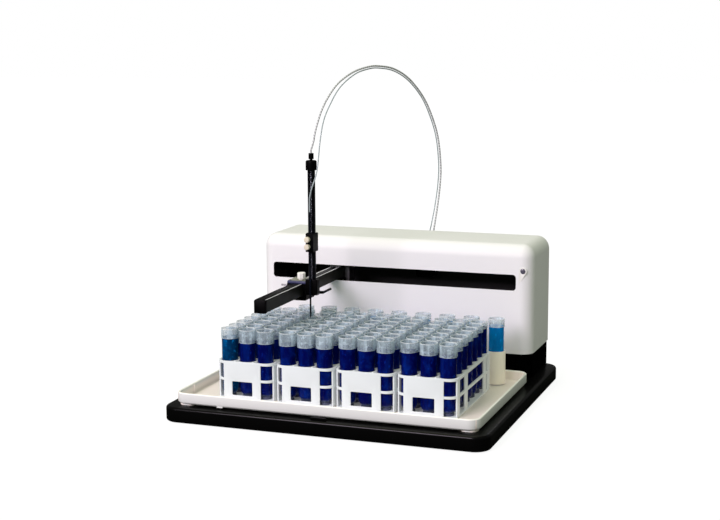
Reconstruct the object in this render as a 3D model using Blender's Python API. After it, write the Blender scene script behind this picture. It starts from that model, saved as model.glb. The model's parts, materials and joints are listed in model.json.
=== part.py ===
"""Bench autosampler: a tray of tube racks under a belt-driven arm that carries a sampling probe.

Metres, +Z up, +X to the object's right seen from the front, +Y to its back.
The origin lies under the middle of the base, on the surface that the feet rest on.
"""

import math

import bmesh
import bpy
from mathutils import Vector

# General fits
GAP = 0.0003
OVERRUN = 0.002
RUNNING_GAP = 0.0004

# Base pan, its cover and feet
BASE_WIDTH = 0.580
BASE_DEPTH = 0.530
BASE_BOTTOM = 0.0015
BASE_TOP = 0.028
BASE_CORNER = 0.028
BASE_TOP_EDGE = 0.005
BASE_LOW_EDGE = 0.004
BASE_WALL = 0.003
BOTTOM_RECESS = 0.0015
BOTTOM_THICKNESS = 0.002
FOOT_RADIUS = 0.010
FOOT_INSET = 0.045
BASE_FRONT = -BASE_DEPTH / 2
BASE_BACK = BASE_DEPTH / 2

# Tab at the front edge of the base
TAB_WIDTH = 0.027
TAB_THICKNESS = 0.0022
TAB_RISE = 0.006
TAB_REACH = 0.0075

# Spill tray
TRAY_WIDTH = 0.5426
TRAY_SETBACK = 0.0155
TRAY_DEPTH = 0.3435
TRAY_CORNER = 0.020
TRAY_RIM = 0.051
TRAY_FLOOR = 0.033
TRAY_FLOOR_THICKNESS = 0.0022
TRAY_SKIRT = 0.0345
TRAY_WALL = 0.0042
TRAY_LIP_ROUND = 0.0012
TRAY_DRAFT = 0.0015
TRAY_STEP = 0.005
TRAY_FOOT = 0.030
TRAY_FRONT = BASE_FRONT + TRAY_SETBACK
TRAY_BACK = TRAY_FRONT + TRAY_DEPTH

# Sample tubes
TUBE_RADIUS = 0.01485
TUBE_WALL = 0.0013
TUBE_LENGTH = 0.1201
TUBE_BOTTOM = 0.003
TUBE_SHEET = 0.001
COLUMN_PITCH = 0.0338
ROW_PITCH = 0.0315
COLUMNS = 3
ROWS = 7

# Sample racks
RACK_COUNT = 4
RACK_SIDE_MARGIN = 0.0196
RACK_SPACE = 0.0027
RACK_SHIFT = 0.00285
RACK_SETBACK = 0.0510
RACK_EDGE_WEB = 0.0017
RACK_PLATE = 0.0046
RACK_BOTTOM_PLATE = 0.0024
RACK_HEIGHT = 0.0677
RACK_MIDDLE_RISE = 0.0332
RACK_PLATE_LIP = 0.0012
TUBE_HOLE_CLEARANCE = 0.0004
PANEL_WIDTH = 0.0695
PANEL_SHIFT = -0.0040
WINDOW_WIDTH = 0.0380
WINDOW_LOW = 0.0080
WINDOW_HEIGHT = 0.0245
POST_DEPTH = 0.016
POST_WIDTH = 0.0030
FRONT_POST_PLACE = 0.0640
REAR_POST_PLACE = 0.182
RACK_WIDTH = (COLUMNS - 1) * COLUMN_PITCH + 2 * RACK_SIDE_MARGIN
RACK_PITCH = RACK_WIDTH + RACK_SPACE
RACK_FRONT = TRAY_FRONT + RACK_SETBACK
RACK_CORNER = TUBE_RADIUS + TUBE_HOLE_CLEARANCE + RACK_EDGE_WEB
RACK_DEPTH = (ROWS - 1) * ROW_PITCH + 2 * RACK_CORNER
RACK_MIDDLE_Y = RACK_FRONT + RACK_DEPTH / 2
RACK_BASE = TRAY_FLOOR + GAP

# Standards rack, its tubes and the rinse station
STANDARDS_PLACES = 10
STANDARDS_LEFT_INSET = 0.0762
STANDARDS_RIGHT_INSET = 0.0518
STANDARDS_SETBACK = 0.3065
STANDARDS_TUBE_RADIUS = 0.0150
SLEEVE_WALL = 0.0013
SLEEVE_HEIGHT = 0.0617
SLEEVE_LINK = 0.004
RINSE_RADIUS = 0.0125
RINSE_BORE = 0.0085
RINSE_TOP = 0.1300
RINSE_BORE_DEPTH = 0.080
RINSE_FLANGE = 0.0175
RINSE_FLANGE_THICKNESS = 0.004
STANDARDS_Y = TRAY_FRONT + STANDARDS_SETBACK
STANDARDS_FIRST = -TRAY_WIDTH / 2 + STANDARDS_LEFT_INSET
STANDARDS_LAST = TRAY_WIDTH / 2 - STANDARDS_RIGHT_INSET
STANDARDS_PITCH = (STANDARDS_LAST - STANDARDS_FIRST) / (STANDARDS_PLACES - 1)

# Housing and the plinth below it
HOUSING_WIDTH = 0.536
HOUSING_SETBACK = 0.390
HOUSING_DEPTH = 0.137
HOUSING_TOP = 0.276
HOUSING_WALL = 0.003
HOUSING_EDGE = 0.025
HOUSING_EDGE_STEPS = 4
PLINTH_TOP = 0.0706
PLINTH_INSET = 0.002
PLINTH_WALL = 0.003
PLINTH_CORNER = 0.022
HOUSING_FRONT = BASE_FRONT + HOUSING_SETBACK
HOUSING_BACK = HOUSING_FRONT + HOUSING_DEPTH
HOUSING_BOTTOM = PLINTH_TOP + GAP
SLOT_LEFT_MARGIN = 0.0234
SLOT_RIGHT_MARGIN = 0.0307
SLOT_LOW = 0.1923
SLOT_HIGH = 0.2217
SLOT_CORNER = 0.0045
WINDOW_LAMP_INSET = 0.018
WINDOW_LAMP_Z = 0.231
WINDOW_LAMP_RADIUS = 0.00425
WINDOW_LAMP_LENGTH = 0.012
LAMP_LAND_WALL = 0.0030
LAMP_LAND_LENGTH = 0.008
SLOT_LEFT = -HOUSING_WIDTH / 2 + SLOT_LEFT_MARGIN
SLOT_RIGHT = HOUSING_WIDTH / 2 - SLOT_RIGHT_MARGIN
WINDOW_LAMP_X = HOUSING_WIDTH / 2 - WINDOW_LAMP_INSET

# Rear panel and what it carries
PANEL_RECESS = 0.003
REAR_PANEL_THICKNESS = 0.0025
INLET_INSET = 0.068
INLET_Z = 0.130
INLET_WIDTH = 0.0272
INLET_HEIGHT = 0.0560
INLET_FLANGE = 0.004
INLET_FLANGE_THICKNESS = 0.0022
INLET_DEPTH = 0.026
SOCKET_WIDTH = 0.0225
SOCKET_HEIGHT = 0.0165
SOCKET_DEPTH = 0.017
SOCKET_DROP = 0.0155
BLADE_WIDTH = 0.0020
BLADE_HEIGHT = 0.0040
BLADE_LENGTH = 0.014
BLADE_PITCH = 0.007
BLADE_OFFSET = 0.0020
ROCKER_RISE = 0.0130
ROCKER_WIDTH = 0.0150
ROCKER_RADIUS = 0.0100
ROCKER_PIVOT_DEPTH = 0.0010
ROCKER_THROW_DEG = 9.0
ROCKER_WELL_CLEARANCE = 0.0006
# Corners of the rocker's side: degrees from upright about its pivot, share of its radius
ROCKER_FACE_SHARES = ((190, 0.97), (350, 0.97), (18, 0.99), (90, 0.17), (162, 0.99))
PORT_INSET = 0.163
PORT_Z = 0.135
SERIAL_WIDTH = 0.031
SERIAL_HEIGHT = 0.0125
SERIAL_RISE = 0.020
DATA_WIDTH = 0.012
DATA_HEIGHT = 0.011
PORT_PROUD = 0.0015
PORT_BODY_DEPTH = 0.014
PORT_WALL = 0.0014
PORT_HOLLOW = 0.007
PORT_BACKING = 0.003
PANEL_BACK = HOUSING_BACK - PANEL_RECESS
PANEL_FRONT = PANEL_BACK - REAR_PANEL_THICKNESS
INLET_X = -HOUSING_WIDTH / 2 + INLET_INSET
PORT_X = -HOUSING_WIDTH / 2 + PORT_INSET

# Cross drive in the housing
ROD_RADIUS = 0.005
ROD_SETBACK = 0.050
LOW_ROD_Z = 0.137
HIGH_ROD_Z = 0.243
BRACKET_WALL = 0.005
BRACKET_TOP = 0.262
BRACKET_DEPTH = 0.068
SHELF_LOW = 0.2290
SHELF_THICKNESS = 0.003
SHELF_SETBACK = 0.033
CROSS_MOTOR_SIZE = 0.035
CROSS_MOTOR_LENGTH = 0.034
MOTOR_CORNER = 0.004
MOTOR_PILOT_RADIUS = 0.010
MOTOR_PILOT_HEIGHT = 0.0015
PULLEY_RADIUS = 0.0066
PULLEY_FLANGE = 0.0010
PULLEY_FLANGE_THICKNESS = 0.0012
SHAFT_RADIUS = 0.0020
BELT_THICKNESS = 0.0013
BELT_WIDTH = 0.006
BELT_GAP = 0.0003
CROSS_BELT_LOW = 0.2362
CARRIER_WIDTH = 0.040
CARRIER_DEPTH = 0.030
CARRIER_LOW = 0.122
CARRIER_HIGH = 0.258
CLAMP_WIDTH = 0.010
BUSH_WALL = 0.0022
BUSH_CLEARANCE = 0.0002
INNER_LEFT = -HOUSING_WIDTH / 2 + HOUSING_WALL
INNER_RIGHT = HOUSING_WIDTH / 2 - HOUSING_WALL
ROD_Y = HOUSING_FRONT + ROD_SETBACK
CARRIER_FRONT = ROD_Y - CARRIER_DEPTH / 2
CARRIER_BACK = ROD_Y + CARRIER_DEPTH / 2
BRACKET_FRONT = CARRIER_FRONT
BRACKET_BACK = BRACKET_FRONT + BRACKET_DEPTH
CROSS_PULLEY_Y = BRACKET_FRONT + SHELF_SETBACK + CROSS_MOTOR_SIZE / 2
CROSS_PULLEY_LEFT = INNER_LEFT + GAP + BRACKET_WALL + GAP + CROSS_MOTOR_SIZE / 2
CROSS_PULLEY_RIGHT = -CROSS_PULLEY_LEFT
BELT_INNER_RADIUS = PULLEY_RADIUS + BELT_GAP
BELT_OUTER_RADIUS = BELT_INNER_RADIUS + BELT_THICKNESS

# Arm, its motor, pulleys and belt
ARM_LEFT = -0.132
ARM_WIDTH = 0.022
ARM_LOW = 0.1945
ARM_HIGH = 0.2160
ARM_SETBACK = 0.050
ARM_GROOVE_WIDTH = 0.0032
ARM_GROOVE_DEPTH = 0.0095
ARM_POCKET_WALL = 0.0018
ARM_POCKET_LENGTH = 0.021
END_CAP_LENGTH = 0.0030
END_CAP_CHAMFER = 0.0015
IDLER_SETBACK = 0.0135
ARM_PULLEY_SETBACK = 0.0155
ARM_MOTOR_SIZE = 0.028
ARM_MOTOR_LENGTH = 0.030
ARM_MIDDLE_X = ARM_LEFT + ARM_WIDTH / 2
ARM_RIGHT = ARM_LEFT + ARM_WIDTH
ARM_FRONT = BASE_FRONT + ARM_SETBACK
ARM_BACK = CARRIER_FRONT - GAP
BEAM_FRONT = ARM_FRONT + END_CAP_LENGTH + GAP
IDLER_Y = ARM_FRONT + IDLER_SETBACK
ARM_PULLEY_Y = ARM_BACK - ARM_PULLEY_SETBACK
ARM_BELT_LOW = ARM_HIGH - ARM_GROOVE_DEPTH + GAP
ARM_MOTOR_TOP = ARM_LOW - GAP

# Carriage on the arm
CARRIAGE_SETBACK = 0.210
CARRIAGE_DEPTH = 0.040
CARRIAGE_CLEARANCE = 0.0005
CARRIAGE_LEFT_WALL = 0.0075
CARRIAGE_RIGHT_WALL = 0.0067
CARRIAGE_FLOOR = 0.0080
CARRIAGE_PLATE = 0.0050
CARRIAGE_PLATE_BEVEL = 0.0015
THUMBSCREW_RADIUS = 0.0080
THUMBSCREW_HEIGHT = 0.0110
THUMBSCREW_NECK = 0.0055
THUMBSCREW_NECK_HEIGHT = 0.0020
THUMBSCREW_SETBACK = 0.013
THUMBSCREW_SHIFT = 0.004
SIDE_PIN_RADIUS = 0.0016
SIDE_PIN_LENGTH = 0.0125
SIDE_PIN_SETBACK = 0.004
SIDE_PIN_DROP = 0.004
FLAG_THICKNESS = 0.0030
FLAG_HEIGHT = 0.0030
FLAG_LENGTH = 0.043
FLAG_SHIFT = 0.0170
CARRIAGE_FRONT = BASE_FRONT + CARRIAGE_SETBACK
CARRIAGE_BACK = CARRIAGE_FRONT + CARRIAGE_DEPTH
CARRIAGE_LEFT = ARM_LEFT - CARRIAGE_CLEARANCE - CARRIAGE_LEFT_WALL
CARRIAGE_RIGHT = ARM_RIGHT + CARRIAGE_CLEARANCE + CARRIAGE_RIGHT_WALL
CARRIAGE_LOW = ARM_LOW - CARRIAGE_CLEARANCE - CARRIAGE_FLOOR
PLATE_LOW = ARM_HIGH + CARRIAGE_CLEARANCE
PLATE_HIGH = PLATE_LOW + CARRIAGE_PLATE
BLOCK_HIGH = PLATE_LOW - GAP

# Vertical drive
DRIVE_SETBACK = 0.2115
Z_BLOCK_WIDTH = 0.023
Z_BLOCK_DEPTH = 0.0145
Z_BLOCK_LEAD = 0.0072
Z_BLOCK_HIGH = 0.2260
Z_BLOCK_LOW = 0.1980
Z_BLOCK_BEVEL = 0.0015
TUBE_OUTER = 0.00675
DRIVE_TUBE_WALL = 0.0018
DRIVE_SLOT_WIDTH = 0.0050
DRIVE_TUBE_TOP = 0.4213
AUGER_WIDTH = 0.0072
AUGER_THICKNESS = 0.0022
AUGER_PITCH = 0.016
AUGER_STEPS_PER_TURN = 8
AUGER_END_GAP = 0.0010
CAP_RADIUS = 0.0099
CAP_HEIGHT = 0.0175
CAP_BEVEL = 0.0018
CAP_NECK_RADIUS = 0.0024
CAP_NECK_HEIGHT = 0.0020
FITTING_RADIUS = 0.0046
FITTING_HEIGHT = 0.0105
DRIVE_X = CARRIAGE_RIGHT + GAP + Z_BLOCK_WIDTH / 2
DRIVE_Y = BASE_FRONT + DRIVE_SETBACK
DRIVE_TUBE_LOW = Z_BLOCK_HIGH + GAP

# Slider and probe
SLIDER_WIDTH = 0.0170
SLIDER_LOW = 0.281
SLIDER_HIGH = 0.312
SLIDER_LEAD = 0.0152
SLIDER_TRAIL = 0.0080
SLIDER_BEVEL = 0.0012
SLIDER_BORE_CLEARANCE = 0.0004
FOLLOWER_WIDTH = 0.0034
FOLLOWER_HEIGHT = 0.006
FOLLOWER_GAP = 0.0006
PROBE_LEAD = 0.0102
PROBE_RADIUS = 0.0016
PROBE_TOP = 0.3480
PROBE_TIP = 0.1578
PROBE_POINT = 0.004
KNOB_RADIUS = 0.0050
KNOB_LENGTH = 0.0075
KNOB_SHIFT = 0.0018
UPPER_KNOB_Z = 0.2998
LOWER_KNOB_Z = 0.2866
PROBE_Y = DRIVE_Y - PROBE_LEAD

# Auger motor and the ports of the two lines
AUGER_MOTOR_SIZE = 0.035
AUGER_MOTOR_LENGTH = 0.032
SHEATH_PORT_X = 0.0307
PORT_FITTING_Z = 0.207
PORT_FITTING_SIZE = 0.014
PORT_FITTING_REACH = 0.0200
PORT_COLLAR_RADIUS = 0.0050
PORT_COLLAR_HEIGHT = 0.0080
SAMPLE_PORT_X = 0.0137
SAMPLE_FITTING_SIZE = 0.010
SAMPLE_COLLAR_RADIUS = 0.0035

# Electronics on the plinth
BOARD_DEPTH = 0.085
BOARD_THICKNESS = 0.0016
BOARD_RISE = 0.008
BOARD_INSET = 0.125
BOARD_SETBACK = 0.018
STANDOFF_RADIUS = 0.003
STANDOFF_INSET = 0.007
CHIP_WIDTH = 0.022
CHIP_HEIGHT = 0.003
SUPPLY_WIDTH = 0.120
SUPPLY_DEPTH = 0.070
SUPPLY_HEIGHT = 0.032
SUPPLY_INSET = 0.060
CHIP_COUNT = 3
BOARD_CLEARANCE = 0.045
BOARD_LEFT = INNER_LEFT + BOARD_INSET
SUPPLY_LEFT = INNER_RIGHT - SUPPLY_INSET - SUPPLY_WIDTH
BOARD_WIDTH = SUPPLY_LEFT - BOARD_CLEARANCE - BOARD_LEFT

# Flexible lines over the top
SHEATH_RADIUS = 0.0017
LINE_RADIUS = 0.0011
ARCH_HEADING = (0.349, 0.937)
ARCH_SHIFT_X = 0.0025
ARCH_SHIFT_Y = 0.0020
CORD_POINTS = 64
SPAN_STEPS = 16

# Points of the sheath's route: run along the arch's heading, height
SHEATH_ROUTE = [
    (0.0000, 0.4553), (0.0022, 0.4720), (0.0078, 0.4910), (0.0230, 0.5230), (0.0440, 0.5500),
    (0.0717, 0.5729), (0.1121, 0.5905), (0.1533, 0.5985), (0.1827, 0.5990), (0.2253, 0.5930),
    (0.2692, 0.5745), (0.3098, 0.5426), (0.3374, 0.5076), (0.3609, 0.4607), (0.3709, 0.4082),
    (0.3702, 0.3678), (0.3617, 0.3220), (0.3503, 0.2781), (0.3438, 0.2500), (0.3416, 0.2330),
]

# Points of the sample line's route: run, height, distance to the right of the arch's plane
LINE_ROUTE = [
    (-0.0135, 0.3640, 0.0030), (-0.0140, 0.3760, 0.0045), (-0.0119, 0.3925, 0.0082),
    (-0.0060, 0.4124, 0.0122), (0.0000, 0.4354, 0.0122), (0.0065, 0.4713, 0.0115),
    (0.0205, 0.5073, 0.0079), (0.0420, 0.5345, 0.0045), (0.0740, 0.5610, 0.0030),
    (0.1140, 0.5820, 0.0020), (0.1540, 0.5910, 0.0020), (0.1830, 0.5915, 0.0020),
    (0.2230, 0.5855, 0.0010), (0.2650, 0.5670, 0.0000), (0.3030, 0.5370, -0.0010),
    (0.3300, 0.5030, -0.0020), (0.3516, 0.4600, -0.0030), (0.3620, 0.4110, -0.0040),
    (0.3614, 0.3686, -0.0060), (0.3540, 0.3230, -0.0090), (0.3460, 0.2795, -0.0130),
    (0.3415, 0.2500, -0.0155), (0.3400, 0.2330, -0.0160),
]


# Scene and materials

def clear_scene():
    for item in list(bpy.data.objects):
        bpy.data.objects.remove(item, do_unlink=True)


def finish(name, colour, roughness, metallic=0.0):
    """One plain surface finish; the colour is linear red, green, blue."""
    material = bpy.data.materials.new(name)
    material.use_nodes = True
    shader = material.node_tree.nodes["Principled BSDF"]
    shader.inputs["Base Color"].default_value = (*colour, 1.0)
    shader.inputs["Roughness"].default_value = roughness
    shader.inputs["Metallic"].default_value = metallic
    return material


def make_finishes():
    return {
        "black_base": finish("black_base", (0.012, 0.012, 0.013), 0.40),
        "black_arm": finish("black_arm", (0.010, 0.010, 0.011), 0.35, 0.4),
        "black_plastic": finish("black_plastic", (0.009, 0.009, 0.010), 0.45),
        "white_shell": finish("white_shell", (0.84, 0.83, 0.87), 0.35),
        "white_tray": finish("white_tray", (0.82, 0.84, 0.86), 0.40),
        "white_rack": finish("white_rack", (0.80, 0.83, 0.85), 0.45),
        "clear_tube": finish("clear_tube", (0.55, 0.66, 0.78), 0.20),
        "nylon": finish("nylon", (0.72, 0.66, 0.54), 0.50),
        "rubber": finish("rubber", (0.02, 0.02, 0.02), 0.80),
        "steel": finish("steel", (0.55, 0.56, 0.57), 0.30, 1.0),
        "bronze": finish("bronze", (0.50, 0.33, 0.15), 0.35, 1.0),
        "aluminium": finish("aluminium", (0.60, 0.61, 0.62), 0.35, 1.0),
        "belt": finish("belt", (0.42, 0.43, 0.42), 0.70),
        "board": finish("board", (0.02, 0.16, 0.07), 0.50),
        "grey_sheath": finish("grey_sheath", (0.55, 0.57, 0.58), 0.45),
        "line": finish("line", (0.60, 0.66, 0.70), 0.25),
        "lens": finish("lens", (0.03, 0.03, 0.035), 0.15),
    }


# Outlines

def rounded_rectangle(left, right, low, high, radius, steps):
    """Rectangle with round corners, anticlockwise from the lower right corner's start."""
    centres = ((right - radius, low + radius, -90), (right - radius, high - radius, 0),
               (left + radius, high - radius, 90), (left + radius, low + radius, 180))
    points = []
    for across, up, start in centres:
        for step in range(steps + 1):
            angle = math.radians(start + 90 * step / steps)
            points.append((across + radius * math.cos(angle), up + radius * math.sin(angle)))
    return points


def rectangle(left, right, low, high):
    return [(left, low), (right, low), (right, high), (left, high)]


def chamfered_rectangle(left, right, low, high, chamfer):
    return rounded_rectangle(left, right, low, high, chamfer, 1)


def ring_points(across, up, radius, sides):
    """Regular outline whose flats, not its corners, face along the two axes."""
    half = math.pi / sides
    return [(across + radius * math.cos(half + 2 * half * k),
             up + radius * math.sin(half + 2 * half * k)) for k in range(sides)]


def fair_radius(radius, sides):
    """Corner radius of the regular outline that has a circle's area."""
    return radius * math.sqrt(2 * math.pi / (sides * math.sin(2 * math.pi / sides)))


def outside_radius(radius, sides):
    """Corner radius of the regular outline whose flats touch a circle."""
    return radius / math.cos(math.pi / sides)


# Solids as bmesh

def along(axis, across, up, place):
    """Puts an outline's two numbers and a place along the axis into X, Y, Z order."""
    if axis == "Z":
        return Vector((across, up, place))
    if axis == "Y":
        return Vector((across, place, up))
    return Vector((place, across, up))


def prism(outline, low, high, holes=(), axis="Z"):
    """Outline with holes, carried straight along an axis from low to high."""
    mesh = bmesh.new()
    edges = []
    for loop in (outline, *holes):
        corners = [mesh.verts.new(along(axis, a, u, low)) for a, u in loop]
        edges += [mesh.edges.new((corners[k - 1], corners[k])) for k in range(len(corners))]
    if holes:
        bmesh.ops.triangle_fill(mesh, edges=edges, use_beauty=True)
    else:
        mesh.faces.new([edge.verts[1] for edge in edges])
    grown = bmesh.ops.extrude_face_region(mesh, geom=mesh.faces[:])
    moved = [item for item in grown["geom"] if isinstance(item, bmesh.types.BMVert)]
    bmesh.ops.translate(mesh, vec=along(axis, 0, 0, high - low), verts=moved)
    bmesh.ops.recalc_face_normals(mesh, faces=mesh.faces[:])
    return mesh


def box(left, right, front, back, low, high):
    return prism(rectangle(left, right, front, back), low, high)


def stack(loops):
    """Skin over closed loops of as many points each, the first and last filled."""
    mesh = bmesh.new()
    rings = [[mesh.verts.new(point) for point in loop] for loop in loops]
    for lower, upper in zip(rings, rings[1:]):
        for k in range(len(lower)):
            mesh.faces.new((lower[k - 1], lower[k], upper[k], upper[k - 1]))
    mesh.faces.new(rings[0])
    mesh.faces.new(rings[-1])
    bmesh.ops.recalc_face_normals(mesh, faces=mesh.faces[:])
    return mesh


def turned(profile, across, up, sides, axis="Z"):
    """Solid of revolution: profile points are radius and place along the axis."""
    return stack([[along(axis, a, u, place) for a, u in ring_points(across, up, radius, sides)]
                  for radius, place in profile])


def round_bar(radius, across, up, low, high, sides, axis="Z"):
    corner = fair_radius(radius, sides)
    return turned([(corner, low), (corner, high)], across, up, sides, axis)


def round_ring(outer, inner, across, up, low, high, sides, axis="Z"):
    hole = ring_points(across, up, outside_radius(inner, sides), sides)
    return prism(ring_points(across, up, fair_radius(outer, sides), sides), low, high, [hole], axis)


def gathered(meshes):
    """Several closed solids in one mesh, side by side."""
    whole = bmesh.new()
    for mesh in meshes:
        held = bpy.data.meshes.new("part")
        mesh.to_mesh(held)
        mesh.free()
        whole.from_mesh(held)
        bpy.data.meshes.remove(held)
    return whole


# Objects

def group(name, place, parent=None):
    """Empty that carries the pieces of one moving body."""
    empty = bpy.data.objects.new(name, None)
    bpy.context.scene.collection.objects.link(empty)
    seat(empty, place, parent)
    return empty


def seat(item, place, parent):
    """Puts an object at a world place, also under a parent."""
    item["world_place"] = place
    offset = Vector(parent["world_place"]) if parent else Vector((0, 0, 0))
    item.parent = parent
    item.location = Vector(place) - offset


def piece(name, mesh, material, parent=None, origin=(0, 0, 0), smooth=False):
    """Makes an object whose origin lies at a world point, such as its joint's axis."""
    bmesh.ops.translate(mesh, vec=-Vector(origin), verts=mesh.verts[:])
    data = bpy.data.meshes.new(name)
    mesh.to_mesh(data)
    mesh.free()
    data.materials.append(material)
    if smooth:
        data.shade_smooth()
        data.set_sharp_from_angle(angle=math.radians(50))
    item = bpy.data.objects.new(name, data)
    bpy.context.scene.collection.objects.link(item)
    seat(item, origin, parent)
    return item


def combine(item, mesh, operation):
    """Joins a second solid to an object, or cuts it out of it."""
    place = Vector(item["world_place"])
    bmesh.ops.translate(mesh, vec=-place, verts=mesh.verts[:])
    data = bpy.data.meshes.new("tool")
    mesh.to_mesh(data)
    mesh.free()
    tool = bpy.data.objects.new(item.name + "_tool", data)
    bpy.context.scene.collection.objects.link(tool)
    seat(tool, tuple(place), None)
    tool.hide_render = True
    tool.display_type = "WIRE"
    modifier = item.modifiers.new(operation.lower(), "BOOLEAN")
    modifier.operation = operation
    modifier.solver = "EXACT"
    modifier.object = tool
    return item


def join(item, mesh):
    return combine(item, mesh, "UNION")


def cut(item, mesh):
    return combine(item, mesh, "DIFFERENCE")


# Base

def base_outline(inset):
    return rounded_rectangle(-BASE_WIDTH / 2 + inset, BASE_WIDTH / 2 - inset,
                             BASE_FRONT + inset, BASE_BACK - inset, BASE_CORNER - inset, 4)


def make_base(finishes):
    levels = [
        (BASE_LOW_EDGE, BASE_BOTTOM), (BASE_LOW_EDGE / 4, BASE_BOTTOM + BASE_LOW_EDGE / 2),
        (0, BASE_BOTTOM + BASE_LOW_EDGE), (0, BASE_TOP - BASE_TOP_EDGE),
        (BASE_TOP_EDGE / 4, BASE_TOP - BASE_TOP_EDGE / 3), (BASE_TOP_EDGE, BASE_TOP),
    ]
    shape = stack([[(x, y, z) for x, y in base_outline(inset)] for inset, z in levels])
    pan = piece("base_pan", shape, finishes["black_base"])
    pocket_inset = BASE_LOW_EDGE + BASE_WALL
    cut(pan, prism(base_outline(pocket_inset), BASE_BOTTOM - OVERRUN, BASE_TOP - BASE_WALL))

    cover_low = BASE_BOTTOM + BOTTOM_RECESS
    piece("bottom_cover",
          prism(base_outline(pocket_inset + GAP), cover_low, cover_low + BOTTOM_THICKNESS),
          finishes["black_base"])

    across = BASE_WIDTH / 2 - FOOT_INSET
    deep = BASE_DEPTH / 2 - FOOT_INSET
    for name, x, y in (("front_left_foot", -across, -deep), ("front_right_foot", across, -deep),
                       ("rear_left_foot", -across, deep), ("rear_right_foot", across, deep)):
        piece(name, round_bar(FOOT_RADIUS, x, y, 0, cover_low - GAP, 12), finishes["rubber"])

    tab_front = BASE_FRONT + BASE_TOP_EDGE
    tab_low = BASE_TOP - BASE_WALL / 2
    profile = [(tab_front, tab_low), (tab_front + TAB_REACH, tab_low),
               (tab_front + TAB_REACH, BASE_TOP + TAB_THICKNESS / 2),
               (tab_front + TAB_THICKNESS, BASE_TOP + TAB_THICKNESS),
               (tab_front + TAB_THICKNESS, BASE_TOP + TAB_RISE), (tab_front, BASE_TOP + TAB_RISE)]
    join(pan, prism(profile, -TAB_WIDTH / 2, TAB_WIDTH / 2, axis="X"))


# Spill tray

def tray_outline(inset):
    return rounded_rectangle(-TRAY_WIDTH / 2 + inset, TRAY_WIDTH / 2 - inset,
                             TRAY_FRONT + inset, TRAY_BACK - inset, TRAY_CORNER - inset, 4)


def make_tray(finishes):
    inner = TRAY_WALL + TRAY_DRAFT
    levels = [
        (TRAY_STEP, TRAY_FLOOR - TRAY_FLOOR_THICKNESS), (0, TRAY_SKIRT),
        (0, TRAY_RIM - TRAY_LIP_ROUND), (TRAY_LIP_ROUND, TRAY_RIM),
        (TRAY_WALL - TRAY_LIP_ROUND, TRAY_RIM), (TRAY_WALL, TRAY_RIM - TRAY_LIP_ROUND),
        (inner, TRAY_FLOOR + TRAY_DRAFT), (inner + TRAY_DRAFT, TRAY_FLOOR),
    ]
    shape = stack([[(x, y, z) for x, y in tray_outline(inset)] for inset, z in levels])
    tray = piece("spill_tray", shape, finishes["white_tray"])
    side = TRAY_WIDTH / 2 - TRAY_STEP
    front = TRAY_FRONT + TRAY_STEP
    back = TRAY_BACK - TRAY_STEP
    top = TRAY_FLOOR - TRAY_FLOOR_THICKNESS / 2
    corner = TRAY_CORNER - TRAY_STEP
    for left in (-side, side - TRAY_FOOT):
        for near in (front, back - TRAY_FOOT):
            outline = rounded_rectangle(left, left + TRAY_FOOT, near, near + TRAY_FOOT, corner, 2)
            join(tray, prism(outline, BASE_TOP + GAP, top))


# Racks and tubes

def rack_centres():
    first = RACK_SHIFT - (RACK_COUNT - 1) / 2 * RACK_PITCH
    return [first + k * RACK_PITCH for k in range(RACK_COUNT)]


def rack_places(centre):
    """Centre of every place in a rack, by column and row."""
    return [(centre + (column - (COLUMNS - 1) / 2) * COLUMN_PITCH,
             RACK_MIDDLE_Y + (row - (ROWS - 1) / 2) * ROW_PITCH)
            for column in range(COLUMNS) for row in range(ROWS)]


def make_rack(number, centre, finishes):
    """Moulded rack: top plate with round places, slotted middle plate, floor, panels and posts."""
    left = centre - RACK_WIDTH / 2
    right = centre + RACK_WIDTH / 2
    back = RACK_FRONT + RACK_DEPTH
    top = RACK_BASE + RACK_HEIGHT
    hole = outside_radius(TUBE_RADIUS + TUBE_HOLE_CLEARANCE, 8)
    holes = [ring_points(x, y, hole, 8) for x, y in rack_places(centre)]

    def plate_outline(inset):
        return rounded_rectangle(left + inset, right - inset, RACK_FRONT + inset / 2,
                                 back - inset / 2, RACK_CORNER - inset / 2, 3)

    rack = piece(f"sample_rack_{number}", prism(plate_outline(0), top - RACK_PLATE, top, holes),
                 finishes["white_rack"])

    middle = RACK_BASE + RACK_MIDDLE_RISE
    slots = [holes[last][:4] + holes[last - ROWS + 1][4:]
             for last in range(ROWS - 1, COLUMNS * ROWS, ROWS)]
    lip = RACK_PLATE_LIP
    join(rack, prism(plate_outline(lip / 2), middle, middle + RACK_PLATE, slots))
    join(rack, prism(plate_outline(lip), RACK_BASE, RACK_BASE + RACK_BOTTOM_PLATE))

    panel_x = centre + PANEL_SHIFT
    panel = rectangle(panel_x - PANEL_WIDTH / 2, panel_x + PANEL_WIDTH / 2, RACK_BASE + GAP,
                      top - RACK_PLATE / 2)
    window = rectangle(panel_x - WINDOW_WIDTH / 2, panel_x + WINDOW_WIDTH / 2,
                       RACK_BASE + WINDOW_LOW, RACK_BASE + WINDOW_LOW + WINDOW_HEIGHT)
    web = RACK_EDGE_WEB - RACK_PLATE_LIP / 4
    join(rack, prism(panel, RACK_FRONT + GAP, RACK_FRONT + web, [window], "Y"))
    join(rack, prism(panel, back - web, back - GAP, [window], "Y"))

    for place in (RACK_CORNER, FRONT_POST_PLACE, REAR_POST_PLACE, RACK_DEPTH - RACK_CORNER):
        near = RACK_FRONT + place - POST_DEPTH / 2
        for low_x in (left + lip + GAP, right - lip - GAP - POST_WIDTH):
            join(rack, box(low_x, low_x + POST_WIDTH, near, near + POST_DEPTH,
                           RACK_BASE + GAP, top - RACK_PLATE / 2))


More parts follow.
